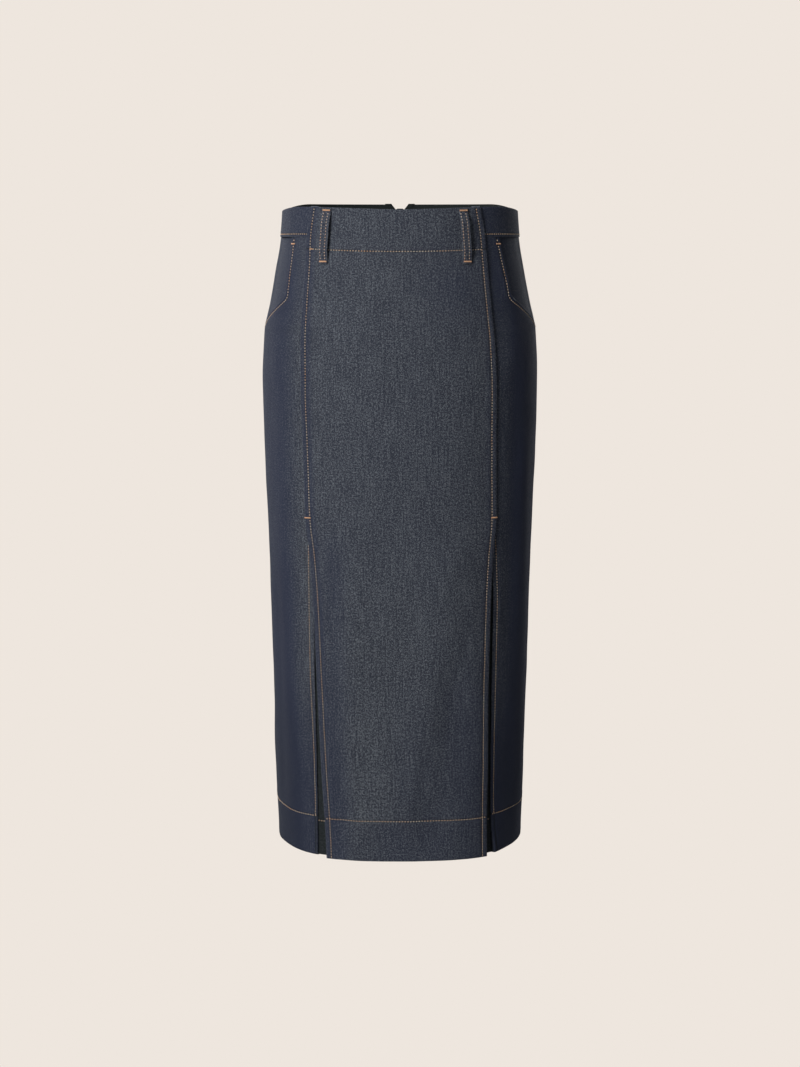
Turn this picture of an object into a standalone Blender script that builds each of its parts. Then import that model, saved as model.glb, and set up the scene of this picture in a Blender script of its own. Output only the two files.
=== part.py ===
"""A denim pencil skirt that keeps the hollow shape of the figure it was made for.

Every panel is a thin wall on one shared body surface. A point on that surface is given by a turn
round the body (0 at the front centre, 90 at the wearer's left side seam, 180 at the back centre)
and a height. Panels that lap over each other stand at different lifts from the surface.
Metres, +Z up, front towards -Y. The origin is the centre of the waist opening, at its top edge.
"""
import math

import bmesh
import bpy
from mathutils import Matrix

MM = 0.001

# ---- sizes of the cut, in millimetres -------------------------------------------------------
CENTRE_HEM = -752.5          # height of the front centre panel's lower edge
HEM = -747.5                 # height of every other lower edge
HEM_DROP = 3.8               # how much lower it hangs beside the front vents
BAND_HEIGHT = 30.5           # the side and back waistband
BACK_RISE = 8.5              # how much higher the waist edge is at the back centre
FRONT_RISE = 4.2             # how much higher it is beside the front seams than at the side seams
NOTCH_DEPTH = 12.5           # V notch at the back centre of the waistband
NOTCH_HALF_WIDTH = 10.0
TACK = -351.0                # height of the bar tacks at the top of the two front vents
VENT_TOP = TACK + 14.0       # where the vent underlays start
UNDERLAY_IN = 34.0           # how far an underlay runs behind the centre panel
UNDERLAY_OUT = 18.0          # and behind the side panel
SEAM_GAP = 0.3               # between pieces that meet edge to edge

# ---- cloth: lift of the outer face from the body surface, and thickness -----------------------
CLOTH = 1.2
BAND_LIFT, BAND_CLOTH = 0.6, 2.4
CENTRE_LIFT = 2.4            # the front centre panel laps over the side panels
CENTRE_SWING = 3.6           # and its lower part hangs this much further out at the hem
UNDERLAY_LIFT = -2.0         # vent underlays lie behind the side panels
FACING_LIFT, FACING_CLOTH = -2.8, 1.0
POCKETING_LIFT, POCKETING_CLOTH = -4.4, 0.8
TAPE_LIFT, TAPE_CLOTH = -2.4, 0.8
TAPE_HALF_WIDTH, ZIP_FOOT = 11.0, -190.0
NEAREST_ROW = 3.0            # no row of points lies closer than this to a panel's end

# ---- the body surface: one row for each section ------------------------------------------------
SECTIONS = (
    # height, half width, front depth, back depth, squareness of the front
    (20.0, 137.2, 98.5, 100.5, 2.20),
    (-30.0, 140.0, 101.0, 104.0, 2.20),
    (-70.0, 146.6, 104.5, 111.0, 2.20),
    (-105.0, 153.2, 107.5, 117.0, 2.22),
    (-140.0, 160.4, 110.0, 122.0, 2.24),
    (-195.0, 162.7, 113.0, 127.0, 2.26),
    (-280.0, 161.0, 115.5, 126.0, 2.30),
    (-390.0, 156.8, 117.0, 121.5, 2.35),
    (-540.0, 152.8, 118.0, 117.0, 2.40),
    (-690.0, 148.9, 118.0, 114.0, 2.45),
    (-770.0, 146.6, 118.0, 113.0, 2.45),
)
BACK_SQUARENESS = 2.15
SIDE_TURN, BACK_TURN = 90.0, 180.0   # from the front centre to the side seam and the back centre
RISE_SPREAD = 40.0           # the turn over which the waist rises behind the side seam
FRONT_PEAK = 56.0            # the turn at which the front waist edge is highest
FRONT_SHARE = 0.28           # of that rise which is left at the middle, before easing
DROP_TURN = 76.0             # the turn in front of which the hem drops
DROP_SPREAD = 36.0           # the turn over which it drops
DROP_HEIGHT = 120.0          # the height over the hem in which the drop fades in
RISE_FADE = 120.0            # the height over which the back waist's rise fades out below the band
NOTCH_SPREAD = 0.93          # share of the waistband's length that the notch leaves alone

# ---- the two front seams and vents: x of each edge, one row for each height --------------------
SEAMS = (
    # height, centre panel left, centre panel right, side panel left, side panel right
    (20.0, -100.0, 89.0, -91.0, 80.0),
    (-30.0, -106.0, 96.5, -97.0, 87.5),
    (-65.0, -107.8, 99.6, -98.5, 90.5),
    (-105.0, -110.7, 103.6, -101.5, 94.5),
    (-150.0, -113.2, 108.0, -104.0, 99.0),
    (-200.0, -113.2, 110.2, -104.0, 101.0),
    (-270.0, -111.0, 110.2, -102.0, 101.0),
    (-351.0, -108.5, 110.7, -100.5, 103.5),
    (-400.0, -103.0, 106.8, -100.4, 106.5),
    (-450.0, -99.6, 104.2, -100.2, 108.4),
    (-510.0, -96.8, 102.4, -99.7, 107.8),
    (-570.0, -94.0, 101.1, -98.9, 107.2),
    (-650.0, -89.9, 100.5, -97.3, 106.2),
    (-700.0, -86.8, 99.8, -96.8, 107.0),
    (-770.0, -84.0, 99.8, -96.7, 111.4),
)

CENTRE_LEFT, CENTRE_RIGHT, SIDE_LEFT, SIDE_RIGHT = 1, 2, 3, 4

# ---- the pocket openings; the skirt is turned a little on the body, so they aren't mirrored -------
POCKETS = {-1: (124.5, 132.0), 1: (114.0, 128.5)}    # x of the edge at the waistband and the corner
POCKET_CORNER_Z = -98.5
POCKET_END_Z = -136.0        # where the slanted lower edge reaches the side seam
FACING_UNDERLAP = 16.0       # how far the facing runs behind the pocket opening's edge
POCKET_BAG_FOOT = -285.0
POCKET_BAG_REACH = 96.0      # x of the bag's inner edge
POCKET_BAG_SHORT = 12.0      # how far its outer edge stays from the side seam, along Y
POCKET_BAG_ROUND = 40.0      # height of its rounded foot

# ---- facets of each panel -------------------------------------------------------------------------
FRONT_COLUMNS, SIDE_COLUMNS, BACK_COLUMNS, STRIP_COLUMNS = 16, 7, 12, 5
BAND_COLUMNS, TAPE_COLUMNS = 24, 4
LOOP_ROWS, LOOP_COLUMNS = 10, 2

# ---- belt loops ---------------------------------------------------------------------------------
LOOP_WIDTH, LOOP_CLOTH = 11.0, 1.6
LOOP_TOP, LOOP_BOTTOM = -1.0, -60.5
LOOP_BOW = 3.2               # clear space for a belt behind the middle of a loop
LOOP_FULLNESS = 1.6          # above 1 the bow is flat along its middle
LOOP_TURN_SHARE = 0.85       # turn that one degree seen from the axis takes up near a loop
LOOPS = (
    # name, turn sign, x at the top, x at the bottom, on the back
    ("belt_loop_front_left", -1, 81.7, 86.0, False),
    ("belt_loop_front_right", 1, 70.5, 75.6, False),
    ("belt_loop_back_left", -1, 58.0, 60.0, True),
    ("belt_loop_back_right", 1, 58.0, 60.0, True),
)

# ---- zip slider and pull tab --------------------------------------------------------------------
PIVOT_RADIUS, PIVOT_CLEARANCE = 0.6, 0.3
EYE_RADIUS, EYE_WIDTH = 1.9, 2.0
PULL_WIDTH, PULL_LENGTH, PULL_THICK = 5.6, 21.0, 1.2
PULL_WINDOW = 3.2
WINDOW_FOOT = EYE_RADIUS + 0.6
SLIDER_BODY = (8.0, 2.4, 11.0)
SLIDER_BEHIND = 4.8          # how far behind the body surface the slider body's middle lies
PIVOT_OUT = 3.7              # and how far outside it the pull tab's pivot is
PIVOT_ABOVE_NOTCH = 4.0      # above the foot of the notch, through which the neck passes
SLIDER_DROP = 2.0            # how far the slider body's middle lies below the pivot
NECK_HEIGHT = 2.4
BODY_BEVEL = 0.7


# ================================ the body surface ===============================================
def smooth_value(rows, height, column):
    """The column's value at a height, on a monotone cubic through the table's rows."""
    rows = sorted(rows)
    k = 0
    while k < len(rows) - 2 and height > rows[k + 1][0]:
        k += 1

    def slope(i):
        if i <= 0 or i >= len(rows) - 1:
            return 0.0
        before = (rows[i][column] - rows[i - 1][column]) / (rows[i][0] - rows[i - 1][0])
        after = (rows[i + 1][column] - rows[i][column]) / (rows[i + 1][0] - rows[i][0])
        return 0.0 if before * after <= 0 else 2 * before * after / (before + after)

    span = rows[k + 1][0] - rows[k][0]
    s = min(1.0, max(0.0, (height - rows[k][0]) / span))
    start, end = rows[k][column], rows[k + 1][column]
    return (
        start * (1 + 2 * s) * (1 - s) ** 2
        + slope(k) * span * s * (1 - s) ** 2
        + end * s * s * (3 - 2 * s)
        - slope(k + 1) * span * s * s * (1 - s)
    )


def section(turn, height):
    """(half width, depth, squareness) of the side of the body that a turn is on."""
    half_width = smooth_value(SECTIONS, height, 1)
    if abs(turn) <= SIDE_TURN:
        return half_width, smooth_value(SECTIONS, height, 2), smooth_value(SECTIONS, height, 4)
    return half_width, smooth_value(SECTIONS, height, 3), BACK_SQUARENESS


def on_body(turn, height, lift=0.0):
    """The point at a turn and height, lifted outwards by lift. All in millimetres and degrees."""
    half_width, depth, squareness = section(turn, height)
    side, fore = math.sin(math.radians(turn)), math.cos(math.radians(turn))
    x = half_width * math.copysign(abs(side) ** (2 / squareness), side)
    y = -depth * math.copysign(abs(fore) ** (2 / squareness), fore)
    nx = math.copysign((abs(x) / half_width) ** (squareness - 1) / half_width, x)
    ny = math.copysign((abs(y) / depth) ** (squareness - 1) / depth, y)
    size = math.hypot(nx, ny)
    return x + lift * nx / size, y + lift * ny / size, height


def turn_of(x, height, back=False):
    """The turn at which the body surface has this x, on the front or on the back."""
    half_width, _, squareness = section(BACK_TURN if back else 0.0, height)
    share = min(1.0, abs(x) / half_width)
    turn = math.degrees(math.asin(share ** (squareness / 2)))
    return math.copysign(BACK_TURN - turn if back else turn, x)


def waist_edge(turn):
    """Height of the waist edge: level at the front, risen at the back."""
    s = min(1.0, max(0.0, (abs(turn) - SIDE_TURN) / RISE_SPREAD))
    return BACK_RISE * s * s * (3 - 2 * s)


def hem_drop(turn, height):
    """How much lower the cloth beside a front vent hangs near its hem."""
    s = min(1.0, max(0.0, (DROP_TURN - abs(turn)) / DROP_SPREAD))
    return HEM_DROP * s * s * (3 - 2 * s) * max(0.0, 1.0 - (height - HEM) / DROP_HEIGHT)


def front_rise(turn, height):
    """The front waist edge dips at the middle and at the side seams."""
    off = abs(turn)
    to_side = max(0.0, (SIDE_TURN - off) / (SIDE_TURN - FRONT_PEAK))
    s = min(1.0, mix(FRONT_SHARE, 1.0, off / FRONT_PEAK), to_side)
    above_foot = min(1.0, max(0.0, 1.0 + height / BAND_HEIGHT))
    return FRONT_RISE * s * s * (3 - 2 * s) * above_foot


def mix(a, b, s):
    return a + (b - a) * s


def centre_lift(height):
    """The front centre panel hangs free below the bar tacks."""
    s = min(1.0, max(0.0, (TACK - height) / (TACK - CENTRE_HEM)))
    return CENTRE_LIFT + CENTRE_SWING * s ** 1.2


PIVOT = (0.0, on_body(BACK_TURN, 0.0, PIVOT_OUT)[1], BACK_RISE - NOTCH_DEPTH + PIVOT_ABOVE_NOTCH)


# ================================ making solids ==================================================
def clear_scene():
    for old in list(bpy.data.objects):
        bpy.data.objects.remove(old, do_unlink=True)


def finish_of(name, colour, roughness, metallic=0.0):
    material = bpy.data.materials.new(name)
    material.use_nodes = True
    shader = material.node_tree.nodes["Principled BSDF"]
    shader.inputs["Base Color"].default_value = (*colour, 1.0)
    shader.inputs["Roughness"].default_value = roughness
    shader.inputs["Metallic"].default_value = metallic
    return material


def named_object(name, bm, material):
    """The object that holds what was built in millimetres in bm."""
    bmesh.ops.scale(bm, vec=(MM, MM, MM), verts=bm.verts)
    mesh = bpy.data.meshes.new(name)
    bm.to_mesh(mesh)
    bm.free()
    mesh.materials.append(material)
    made = bpy.data.objects.new(name, mesh)
    bpy.context.collection.objects.link(made)
    return made


def levels_between(top, foot):
    """The heights at which every panel has a row of points, so that lapped panels bend together."""
    stations = ((0.0, 2), (-BAND_HEIGHT, 5), (POCKET_CORNER_Z, 4), (POCKET_END_Z, 4), (-200.0, 4),
                (TACK, 8), (HEM, 1), (CENTRE_HEM, 0))
    levels = []
    for (start, count), (end, _) in zip(stations, stations[1:]):
        levels += [mix(start, end, k / count) for k in range(count)]
    between = [h for h in reversed(levels) if foot + NEAREST_ROW < h < top - NEAREST_ROW]
    return [foot] + between + [top]


def even(count):
    return [k / count for k in range(count + 1)]


def wall(name, rows, columns, place, cloth, material):
    """A closed panel between the lifts that place(s, row) gives and the same points a cloth inward.

    place gives (turn, height, lift); s runs from 0 to 1 across the panel, and row is one of rows.
    """
    bm = bmesh.new()

    def skin(depth):
        grid = []
        for row in rows:
            spots = [place(s, row) for s in even(columns)]
            spots.sort(key=lambda spot: spot[0])
            grid.append([bm.verts.new(on_body(turn, height, lift - depth)) for turn, height, lift in spots])
        return grid

    outer, inner = skin(0.0), skin(cloth)
    for low_out, high_out, low_in, high_in in zip(outer, outer[1:], inner, inner[1:]):
        for k in range(columns):
            bm.faces.new((low_out[k], low_out[k + 1], high_out[k + 1], high_out[k]))
            bm.faces.new((low_in[k + 1], low_in[k], high_in[k], high_in[k + 1]))
        bm.faces.new((low_in[0], low_out[0], high_out[0], high_in[0]))
        bm.faces.new((low_out[-1], low_in[-1], high_in[-1], high_out[-1]))
    for k in range(columns):
        bm.faces.new((outer[0][k + 1], outer[0][k], inner[0][k], inner[0][k + 1]))
        bm.faces.new((outer[-1][k], outer[-1][k + 1], inner[-1][k + 1], inner[-1][k]))
    panel = named_object(name, bm, material)
    panel.data.shade_smooth()
    panel.data.set_sharp_from_angle(angle=math.radians(40.0))
    return panel


# ================================ front ==========================================================
def seam_turn(column, height):
    """The turn of a front seam's edge; the column says which edge."""
    return turn_of(smooth_value(SEAMS, height, column), height)


def front_centre_panel(denim):
    def place(s, height):
        turn = mix(seam_turn(CENTRE_LEFT, height), seam_turn(CENTRE_RIGHT, height), s)
        return turn, height + front_rise(turn, height), centre_lift(height)

    wall("front_centre_panel", levels_between(0.0, CENTRE_HEM), FRONT_COLUMNS, place, CLOTH, denim)


def side_seam(height, gap=SEAM_GAP):
    """The turn of a point on the front that is a gap short of the side seam."""
    _, depth, squareness = section(0.0, height)
    return math.degrees(math.acos((gap / depth) ** (squareness / 2)))


def pocket_edge_x(sign, height):
    """x of the pocket opening's upper edge, down to its corner."""
    return mix(*POCKETS[sign], (height + BAND_HEIGHT) / (POCKET_CORNER_Z + BAND_HEIGHT))


def pocket_edge(sign, height):
    """The turn of the front side panel's outer edge: the pocket opening, then the side seam."""
    if height > POCKET_CORNER_Z:
        return turn_of(pocket_edge_x(sign, height), height)
    corner = turn_of(POCKETS[sign][1], POCKET_CORNER_Z)
    slant = mix(corner, SIDE_TURN, (height - POCKET_CORNER_Z) / (POCKET_END_Z - POCKET_CORNER_Z))
    return min(slant, side_seam(height))


def front_side_panel(name, sign, column, denim):
    def place(s, height):
        turn = mix(abs(seam_turn(column, height)), pocket_edge(sign, height), s)
        return sign * turn, height - hem_drop(turn, height), 0.0

    rows = levels_between(-BAND_HEIGHT - SEAM_GAP, HEM)
    wall(name, rows, SIDE_COLUMNS, place, CLOTH, denim)


def pocket_facing(name, sign, denim):
    """The denim that shows inside the pocket opening, as far as the side seam."""

    def place(s, height):
        x = min(pocket_edge_x(sign, height), POCKETS[sign][1]) - FACING_UNDERLAP
        return sign * mix(turn_of(x, height), side_seam(height), s), height, FACING_LIFT

    rows = levels_between(-BAND_HEIGHT - SEAM_GAP, POCKET_END_Z - FACING_UNDERLAP)
    wall(name, rows, STRIP_COLUMNS, place, FACING_CLOTH, denim)


def pocket_bag(name, sign, pocketing):
    """The pocket's hidden bag, hanging behind the facing, with a rounded lower edge."""

    def place(s, height):
        round_off = POCKET_BAG_ROUND * max(0.0, 1.0 - (height - POCKET_BAG_FOOT) / POCKET_BAG_ROUND)
        narrow = round_off ** 2 / POCKET_BAG_ROUND / 2
        inner = turn_of(POCKET_BAG_REACH + narrow, height)
        outer = side_seam(height, POCKET_BAG_SHORT + narrow)
        return sign * mix(inner, outer, s), height, POCKETING_LIFT

    rows = levels_between(-BAND_HEIGHT - SEAM_GAP, POCKET_BAG_FOOT)
    wall(name, rows, STRIP_COLUMNS, place, POCKETING_CLOTH, pocketing)


def vent_underlay(name, sign, centre_column, side_column, denim):
    """The strip behind a vent, which shows where the two edges part."""

    def place(s, height):
        inner = abs(smooth_value(SEAMS, height, centre_column)) - UNDERLAY_IN
        outer = abs(smooth_value(SEAMS, height, side_column)) + UNDERLAY_OUT
        turn = mix(turn_of(inner, height), turn_of(outer, height), s)
        return sign * turn, height - hem_drop(turn, height), UNDERLAY_LIFT

    wall(name, levels_between(VENT_TOP, HEM), STRIP_COLUMNS, place, CLOTH, denim)


# ================================ back and waistband =============================================
def centre_back(height, short):
    """The turn at which x is short of the back centre by this much."""
    return turn_of(short, height, back=True)


def back_panel(name, sign, denim):
    tops = levels_between(-BAND_HEIGHT - SEAM_GAP, HEM)

    def place(s, level):
        turn = mix(SIDE_TURN, BACK_TURN, s)
        rise = waist_edge(turn) * max(0.0, 1.0 + (level + BAND_HEIGHT) / RISE_FADE)
        height = level + rise
        return sign * mix(SIDE_TURN, centre_back(height, SEAM_GAP / 2), s), height, 0.0

    wall(name, tops, BACK_COLUMNS, place, CLOTH, denim)


def notch_edge(height):
    """x of a waistband's end: half a seam gap at the back centre, opening into the V notch."""
    above_foot = max(0.0, height - (BACK_RISE - NOTCH_DEPTH))
    return SEAM_GAP / 2 + NOTCH_HALF_WIDTH * above_foot / NOTCH_DEPTH


def waistband(name, sign, column, denim):
    """Cut in one from under the front centre panel, round the side, to the back centre."""

    def place(s, v):
        level = mix(-BAND_HEIGHT, 0.0, v)
        front = abs(seam_turn(column, level))
        turn = mix(front, BACK_TURN, s)
        height = level + waist_edge(turn)
        end = centre_back(height, notch_edge(height))
        plain_end = centre_back(height, SEAM_GAP / 2)
        near_end = max(0.0, (s - NOTCH_SPREAD) / (1.0 - NOTCH_SPREAD))
        turn = mix(front, plain_end, s) - (plain_end - end) * near_end
        return sign * turn, level + waist_edge(turn) + front_rise(turn, level), BAND_LIFT

    notch_foot = 1.0 - NOTCH_DEPTH / BAND_HEIGHT
    rows = [0.0, notch_foot / 2, notch_foot, mix(notch_foot, 1.0, 0.5), 1.0]
    wall(name, rows, BAND_COLUMNS, place, BAND_CLOTH, denim)


def belt_loop(name, sign, top_x, bottom_x, back, denim):
    """A strap sewn down at both ends, bowed out so that a belt passes behind it."""
    sewn_to = BAND_LIFT if back else CENTRE_LIFT
    rise = BACK_RISE if back else 0.0

    def place(s, v):
        height = mix(LOOP_BOTTOM, LOOP_TOP, v) + rise
        turn = turn_of(mix(bottom_x, top_x, v), height, back)
        x, y, _ = on_body(turn, height)
        across = math.degrees(LOOP_WIDTH / math.hypot(x, y))
        bow = LOOP_BOW * min(1.0, LOOP_FULLNESS * math.sin(math.pi * v))
        lift = sewn_to + SEAM_GAP + LOOP_CLOTH + bow
        top = height + front_rise(turn, height)
        return sign * (turn + (s - 0.5) * across * LOOP_TURN_SHARE), top, lift

    wall(name, even(LOOP_ROWS), LOOP_COLUMNS, place, LOOP_CLOTH, denim)


# ================================ zip ============================================================
def zip_tape(material):
    """The two halves of the tape, side by side as one strip behind the centre back seam."""

    def place(s, height):
        across = mix(-1.0, 1.0, s)
        turn = centre_back(height, TAPE_HALF_WIDTH * abs(across))
        return (turn if across > 0 else 2 * BACK_TURN - turn), height, TAPE_LIFT

    rows = levels_between(BACK_RISE - NOTCH_DEPTH - 1.0, ZIP_FOOT)
    wall("zip_tape", rows, TAPE_COLUMNS, place, TAPE_CLOTH, material)


def block(bm, size, centre):
    made = bmesh.ops.create_cube(bm, size=1.0)["verts"]
    bmesh.ops.scale(bm, vec=size, verts=made)
    bmesh.ops.translate(bm, vec=centre, verts=made)


def rod(bm, radius, length, sides=20):
    """A cylinder along X about the origin."""
    made = bmesh.ops.create_cone(
        bm, cap_ends=True, segments=sides, radius1=radius, radius2=radius, depth=length
    )["verts"]
    bmesh.ops.rotate(bm, cent=(0, 0, 0), matrix=Matrix.Rotation(math.radians(90.0), 3, "Y"), verts=made)


def metal_piece(name, metal, build):
    """An object at the pull tab's pivot, holding what build(bm) adds round that point."""
    bm = bmesh.new()
    build(bm)
    made = named_object(name, bm, metal)
    made.location = [c * MM for c in PIVOT]
    return made


def combine(target, other, operation):
    modifier = target.modifiers.new(other.name, "BOOLEAN")
    modifier.object = other
    modifier.operation = operation
    modifier.solver = "EXACT"
    other.hide_render = True
    other.display_type = "WIRE"


def zip_slider(metal):
    """Body behind the cloth, a neck through the notch, and an eye for the pull tab outside."""
    reach = PIVOT_OUT + SLIDER_BEHIND
    body = metal_piece("zip_slider", metal, lambda bm: block(bm, SLIDER_BODY, (0, -reach, -SLIDER_DROP)))
    bevel = body.modifiers.new("edges", "BEVEL")
    bevel.width = BODY_BEVEL * MM
    bevel.segments = 2
    neck_size = (EYE_WIDTH, reach, NECK_HEIGHT)
    neck = metal_piece("slider_neck", metal, lambda bm: block(bm, neck_size, (0, -reach / 2, 0)))
    eye = metal_piece("slider_eye", metal, lambda bm: rod(bm, EYE_RADIUS, EYE_WIDTH))
    hole_radius = PIVOT_RADIUS + PIVOT_CLEARANCE
    hole = metal_piece("slider_eye_hole", metal, lambda bm: rod(bm, hole_radius, 2 * EYE_WIDTH))
    combine(body, neck, "UNION")
    combine(body, eye, "UNION")
    combine(body, hole, "DIFFERENCE")


def pull_tab(bm):
    """The tapering tab with a rounded foot, below its window."""
    right = [(0.0, -PULL_LENGTH), (0.9, -PULL_LENGTH + 0.4), (1.6, -PULL_LENGTH + 1.4),
             (PULL_WIDTH / 2, -0.4 * PULL_LENGTH), (PULL_WIDTH / 2, -WINDOW_FOOT)]
    outline = right + [(-x, z) for x, z in right[:0:-1]]
    face = bm.faces.new([bm.verts.new((x, PULL_THICK / 2, z)) for x, z in outline])
    grown = bmesh.ops.extrude_face_region(bm, geom=[face])["geom"]
    verts = [g for g in grown if isinstance(g, bmesh.types.BMVert)]
    bmesh.ops.translate(bm, vec=(0, -PULL_THICK, 0), verts=verts)
    bmesh.ops.recalc_face_normals(bm, faces=bm.faces)


def zip_pull(metal):
    """A tab that hangs from a round bar through the slider's eye. Its origin is on the hinge."""
    cheek = ((PULL_WIDTH - PULL_WINDOW) / 2, PULL_THICK, WINDOW_FOOT + 1.0)
    middle = (PULL_WINDOW + cheek[0]) / 2
    pull = metal_piece("zip_pull", metal, pull_tab)
    for name, x in (("pull_cheek_left", -middle), ("pull_cheek_right", middle)):
        made = metal_piece(name, metal, lambda bm: block(bm, cheek, (x, 0, -cheek[2] / 2)))
        combine(pull, made, "UNION")
    bar = metal_piece("pull_bar", metal, lambda bm: rod(bm, PIVOT_RADIUS, PULL_WIDTH))
    combine(pull, bar, "UNION")


# ================================ the skirt ======================================================
def main():
    clear_scene()
    denim = finish_of("indigo_denim", (0.035, 0.042, 0.065), 0.85)
    pocketing = finish_of("pocket_cotton", (0.55, 0.54, 0.50), 0.9)
    tape = finish_of("zip_tape", (0.02, 0.025, 0.045), 0.8)
    metal = finish_of("zip_metal", (0.05, 0.055, 0.07), 0.4, 0.8)

    front_centre_panel(denim)
    sides = (("left", -1, CENTRE_LEFT, SIDE_LEFT), ("right", 1, CENTRE_RIGHT, SIDE_RIGHT))
    for side, sign, centre_column, side_column in sides:
        front_side_panel(f"front_side_{side}", sign, side_column, denim)
        pocket_facing(f"pocket_facing_{side}", sign, denim)
        pocket_bag(f"pocket_bag_{side}", sign, pocketing)
        vent_underlay(f"vent_underlay_{side}", sign, centre_column, side_column, denim)
        back_panel(f"back_{side}", sign, denim)
        waistband(f"waistband_{side}", sign, side_column, denim)
    for name, sign, top_x, bottom_x, back in LOOPS:
        belt_loop(name, sign, top_x, bottom_x, back, denim)
    zip_tape(tape)
    zip_slider(metal)
    zip_pull(metal)


main()
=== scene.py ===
"""A raw denim pencil skirt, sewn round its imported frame.

Cloth is laid out in millimetres: an arc, measured round the body from the front centre, and a
level, measured down from the front waist edge. The tables of the cut are those of the frame's
own panels. Everything that reaches a mesh is in metres.
"""
import math

import bmesh
import bpy
import numpy as np
from bpy.props import FloatProperty, FloatVectorProperty, PointerProperty
from mathutils import Matrix, Vector


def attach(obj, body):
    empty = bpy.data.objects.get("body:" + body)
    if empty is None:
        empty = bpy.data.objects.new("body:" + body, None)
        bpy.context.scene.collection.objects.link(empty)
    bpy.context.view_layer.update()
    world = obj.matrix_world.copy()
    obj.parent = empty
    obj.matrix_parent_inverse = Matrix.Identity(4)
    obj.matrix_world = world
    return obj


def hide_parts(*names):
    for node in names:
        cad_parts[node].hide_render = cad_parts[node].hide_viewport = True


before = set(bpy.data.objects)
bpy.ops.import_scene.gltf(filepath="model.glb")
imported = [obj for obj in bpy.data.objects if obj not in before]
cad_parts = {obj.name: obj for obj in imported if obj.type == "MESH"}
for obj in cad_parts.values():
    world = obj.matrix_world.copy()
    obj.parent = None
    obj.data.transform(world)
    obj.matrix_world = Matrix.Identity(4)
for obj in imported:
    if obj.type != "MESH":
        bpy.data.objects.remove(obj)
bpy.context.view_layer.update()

bl_info = {
    "name": "Denim skirt",
    "version": (1, 0, 0),
    "blender": (4, 5, 0),
    "location": "View3D > Sidebar > Skirt",
    "description": "Sews a raw denim pencil skirt round its packed frame",
    "category": "Add Mesh",
}

MM = 0.001
CLOTH_BODY = "skirt"
SIDES = (("left", -1), ("right", 1))

# ---- the body surface, one row for each section, in millimetres ----
SECTIONS = (
    # height, half width, front depth, back depth, squareness of the front
    (20.0, 137.2, 98.5, 100.5, 2.20),
    (-30.0, 140.0, 101.0, 104.0, 2.20),
    (-70.0, 146.6, 104.5, 111.0, 2.20),
    (-105.0, 153.2, 107.5, 117.0, 2.22),
    (-140.0, 160.4, 110.0, 122.0, 2.24),
    (-195.0, 162.7, 113.0, 127.0, 2.26),
    (-280.0, 161.0, 115.5, 126.0, 2.30),
    (-390.0, 156.8, 117.0, 121.5, 2.35),
    (-540.0, 152.8, 118.0, 117.0, 2.40),
    (-690.0, 148.9, 118.0, 114.0, 2.45),
    (-770.0, 146.6, 118.0, 113.0, 2.45),
)
BACK_SQUARENESS = 2.15

# ---- the two front seams and vents: x of each edge ----
SEAMS = (
    # height, centre panel left, centre panel right, side panel left, side panel right
    (20.0, -100.0, 89.0, -91.0, 80.0),
    (-30.0, -106.0, 96.5, -97.0, 87.5),
    (-65.0, -107.8, 99.6, -98.5, 90.5),
    (-105.0, -110.7, 103.6, -101.5, 94.5),
    (-150.0, -113.2, 108.0, -104.0, 99.0),
    (-200.0, -113.2, 110.2, -104.0, 101.0),
    (-270.0, -111.0, 110.2, -102.0, 101.0),
    (-351.0, -108.5, 110.7, -100.5, 103.5),
    (-400.0, -103.0, 106.8, -100.4, 106.5),
    (-450.0, -99.6, 104.2, -100.2, 108.4),
    (-510.0, -96.8, 102.4, -99.7, 107.8),
    (-570.0, -94.0, 101.1, -98.9, 107.2),
    (-650.0, -89.9, 100.5, -97.3, 106.2),
    (-700.0, -86.8, 99.8, -96.8, 107.0),
    (-770.0, -84.0, 99.8, -96.7, 111.4),
)
CENTRE_EDGE = {-1: 1, 1: 2}
SIDE_EDGE = {-1: 3, 1: 4}

CENTRE_HEM, HEM = -752.5, -747.5
BAND_HEIGHT = 30.5
BACK_RISE, RISE_SPREAD, RISE_FADE = 8.5, 40.0, 120.0
FRONT_RISE, FRONT_PEAK, FRONT_SHARE = 4.2, 56.0, 0.28
HEM_DROP, DROP_TURN, DROP_SPREAD, DROP_HEIGHT = 3.8, 76.0, 36.0, 120.0
NOTCH_DEPTH, NOTCH_HALF_WIDTH = 12.5, 10.0
TACK = -351.0
VENT_TOP = TACK + 14.0
UNDERLAY_IN, UNDERLAY_OUT = 34.0, 18.0
SEAM_GAP = -0.16    # folded edges meet
BAND_FOOT = -BAND_HEIGHT - SEAM_GAP    # tops of the pieces sewn to the waistband
POCKETS = {-1: (124.5, 132.0), 1: (114.0, 128.5)}    # x of the opening's edge, top and corner
POCKET_CORNER_Z, POCKET_END_Z = -98.5, -136.0
EASING = (-4.5, -3.0, -1.5, 0.0, 1.5, 3.0, 4.5)
FACING_UNDERLAP = 16.0
FACING_TUCK = 8.0    # turned up behind the waistband
POCKET_BAG_FOOT, POCKET_BAG_REACH, POCKET_BAG_SHORT, POCKET_BAG_ROUND = -285.0, 96.0, 12.0, 40.0

# ---- lifts of the outer faces from the body surface ----
BAND_LIFT = 0.6
CENTRE_LIFT, CENTRE_SWING = 2.4, 3.6
UNDERLAY_LIFT = -2.3
FACING_LIFT = -2.8
POCKETING_LIFT = -4.4
TAPE_LIFT = -2.5

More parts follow.
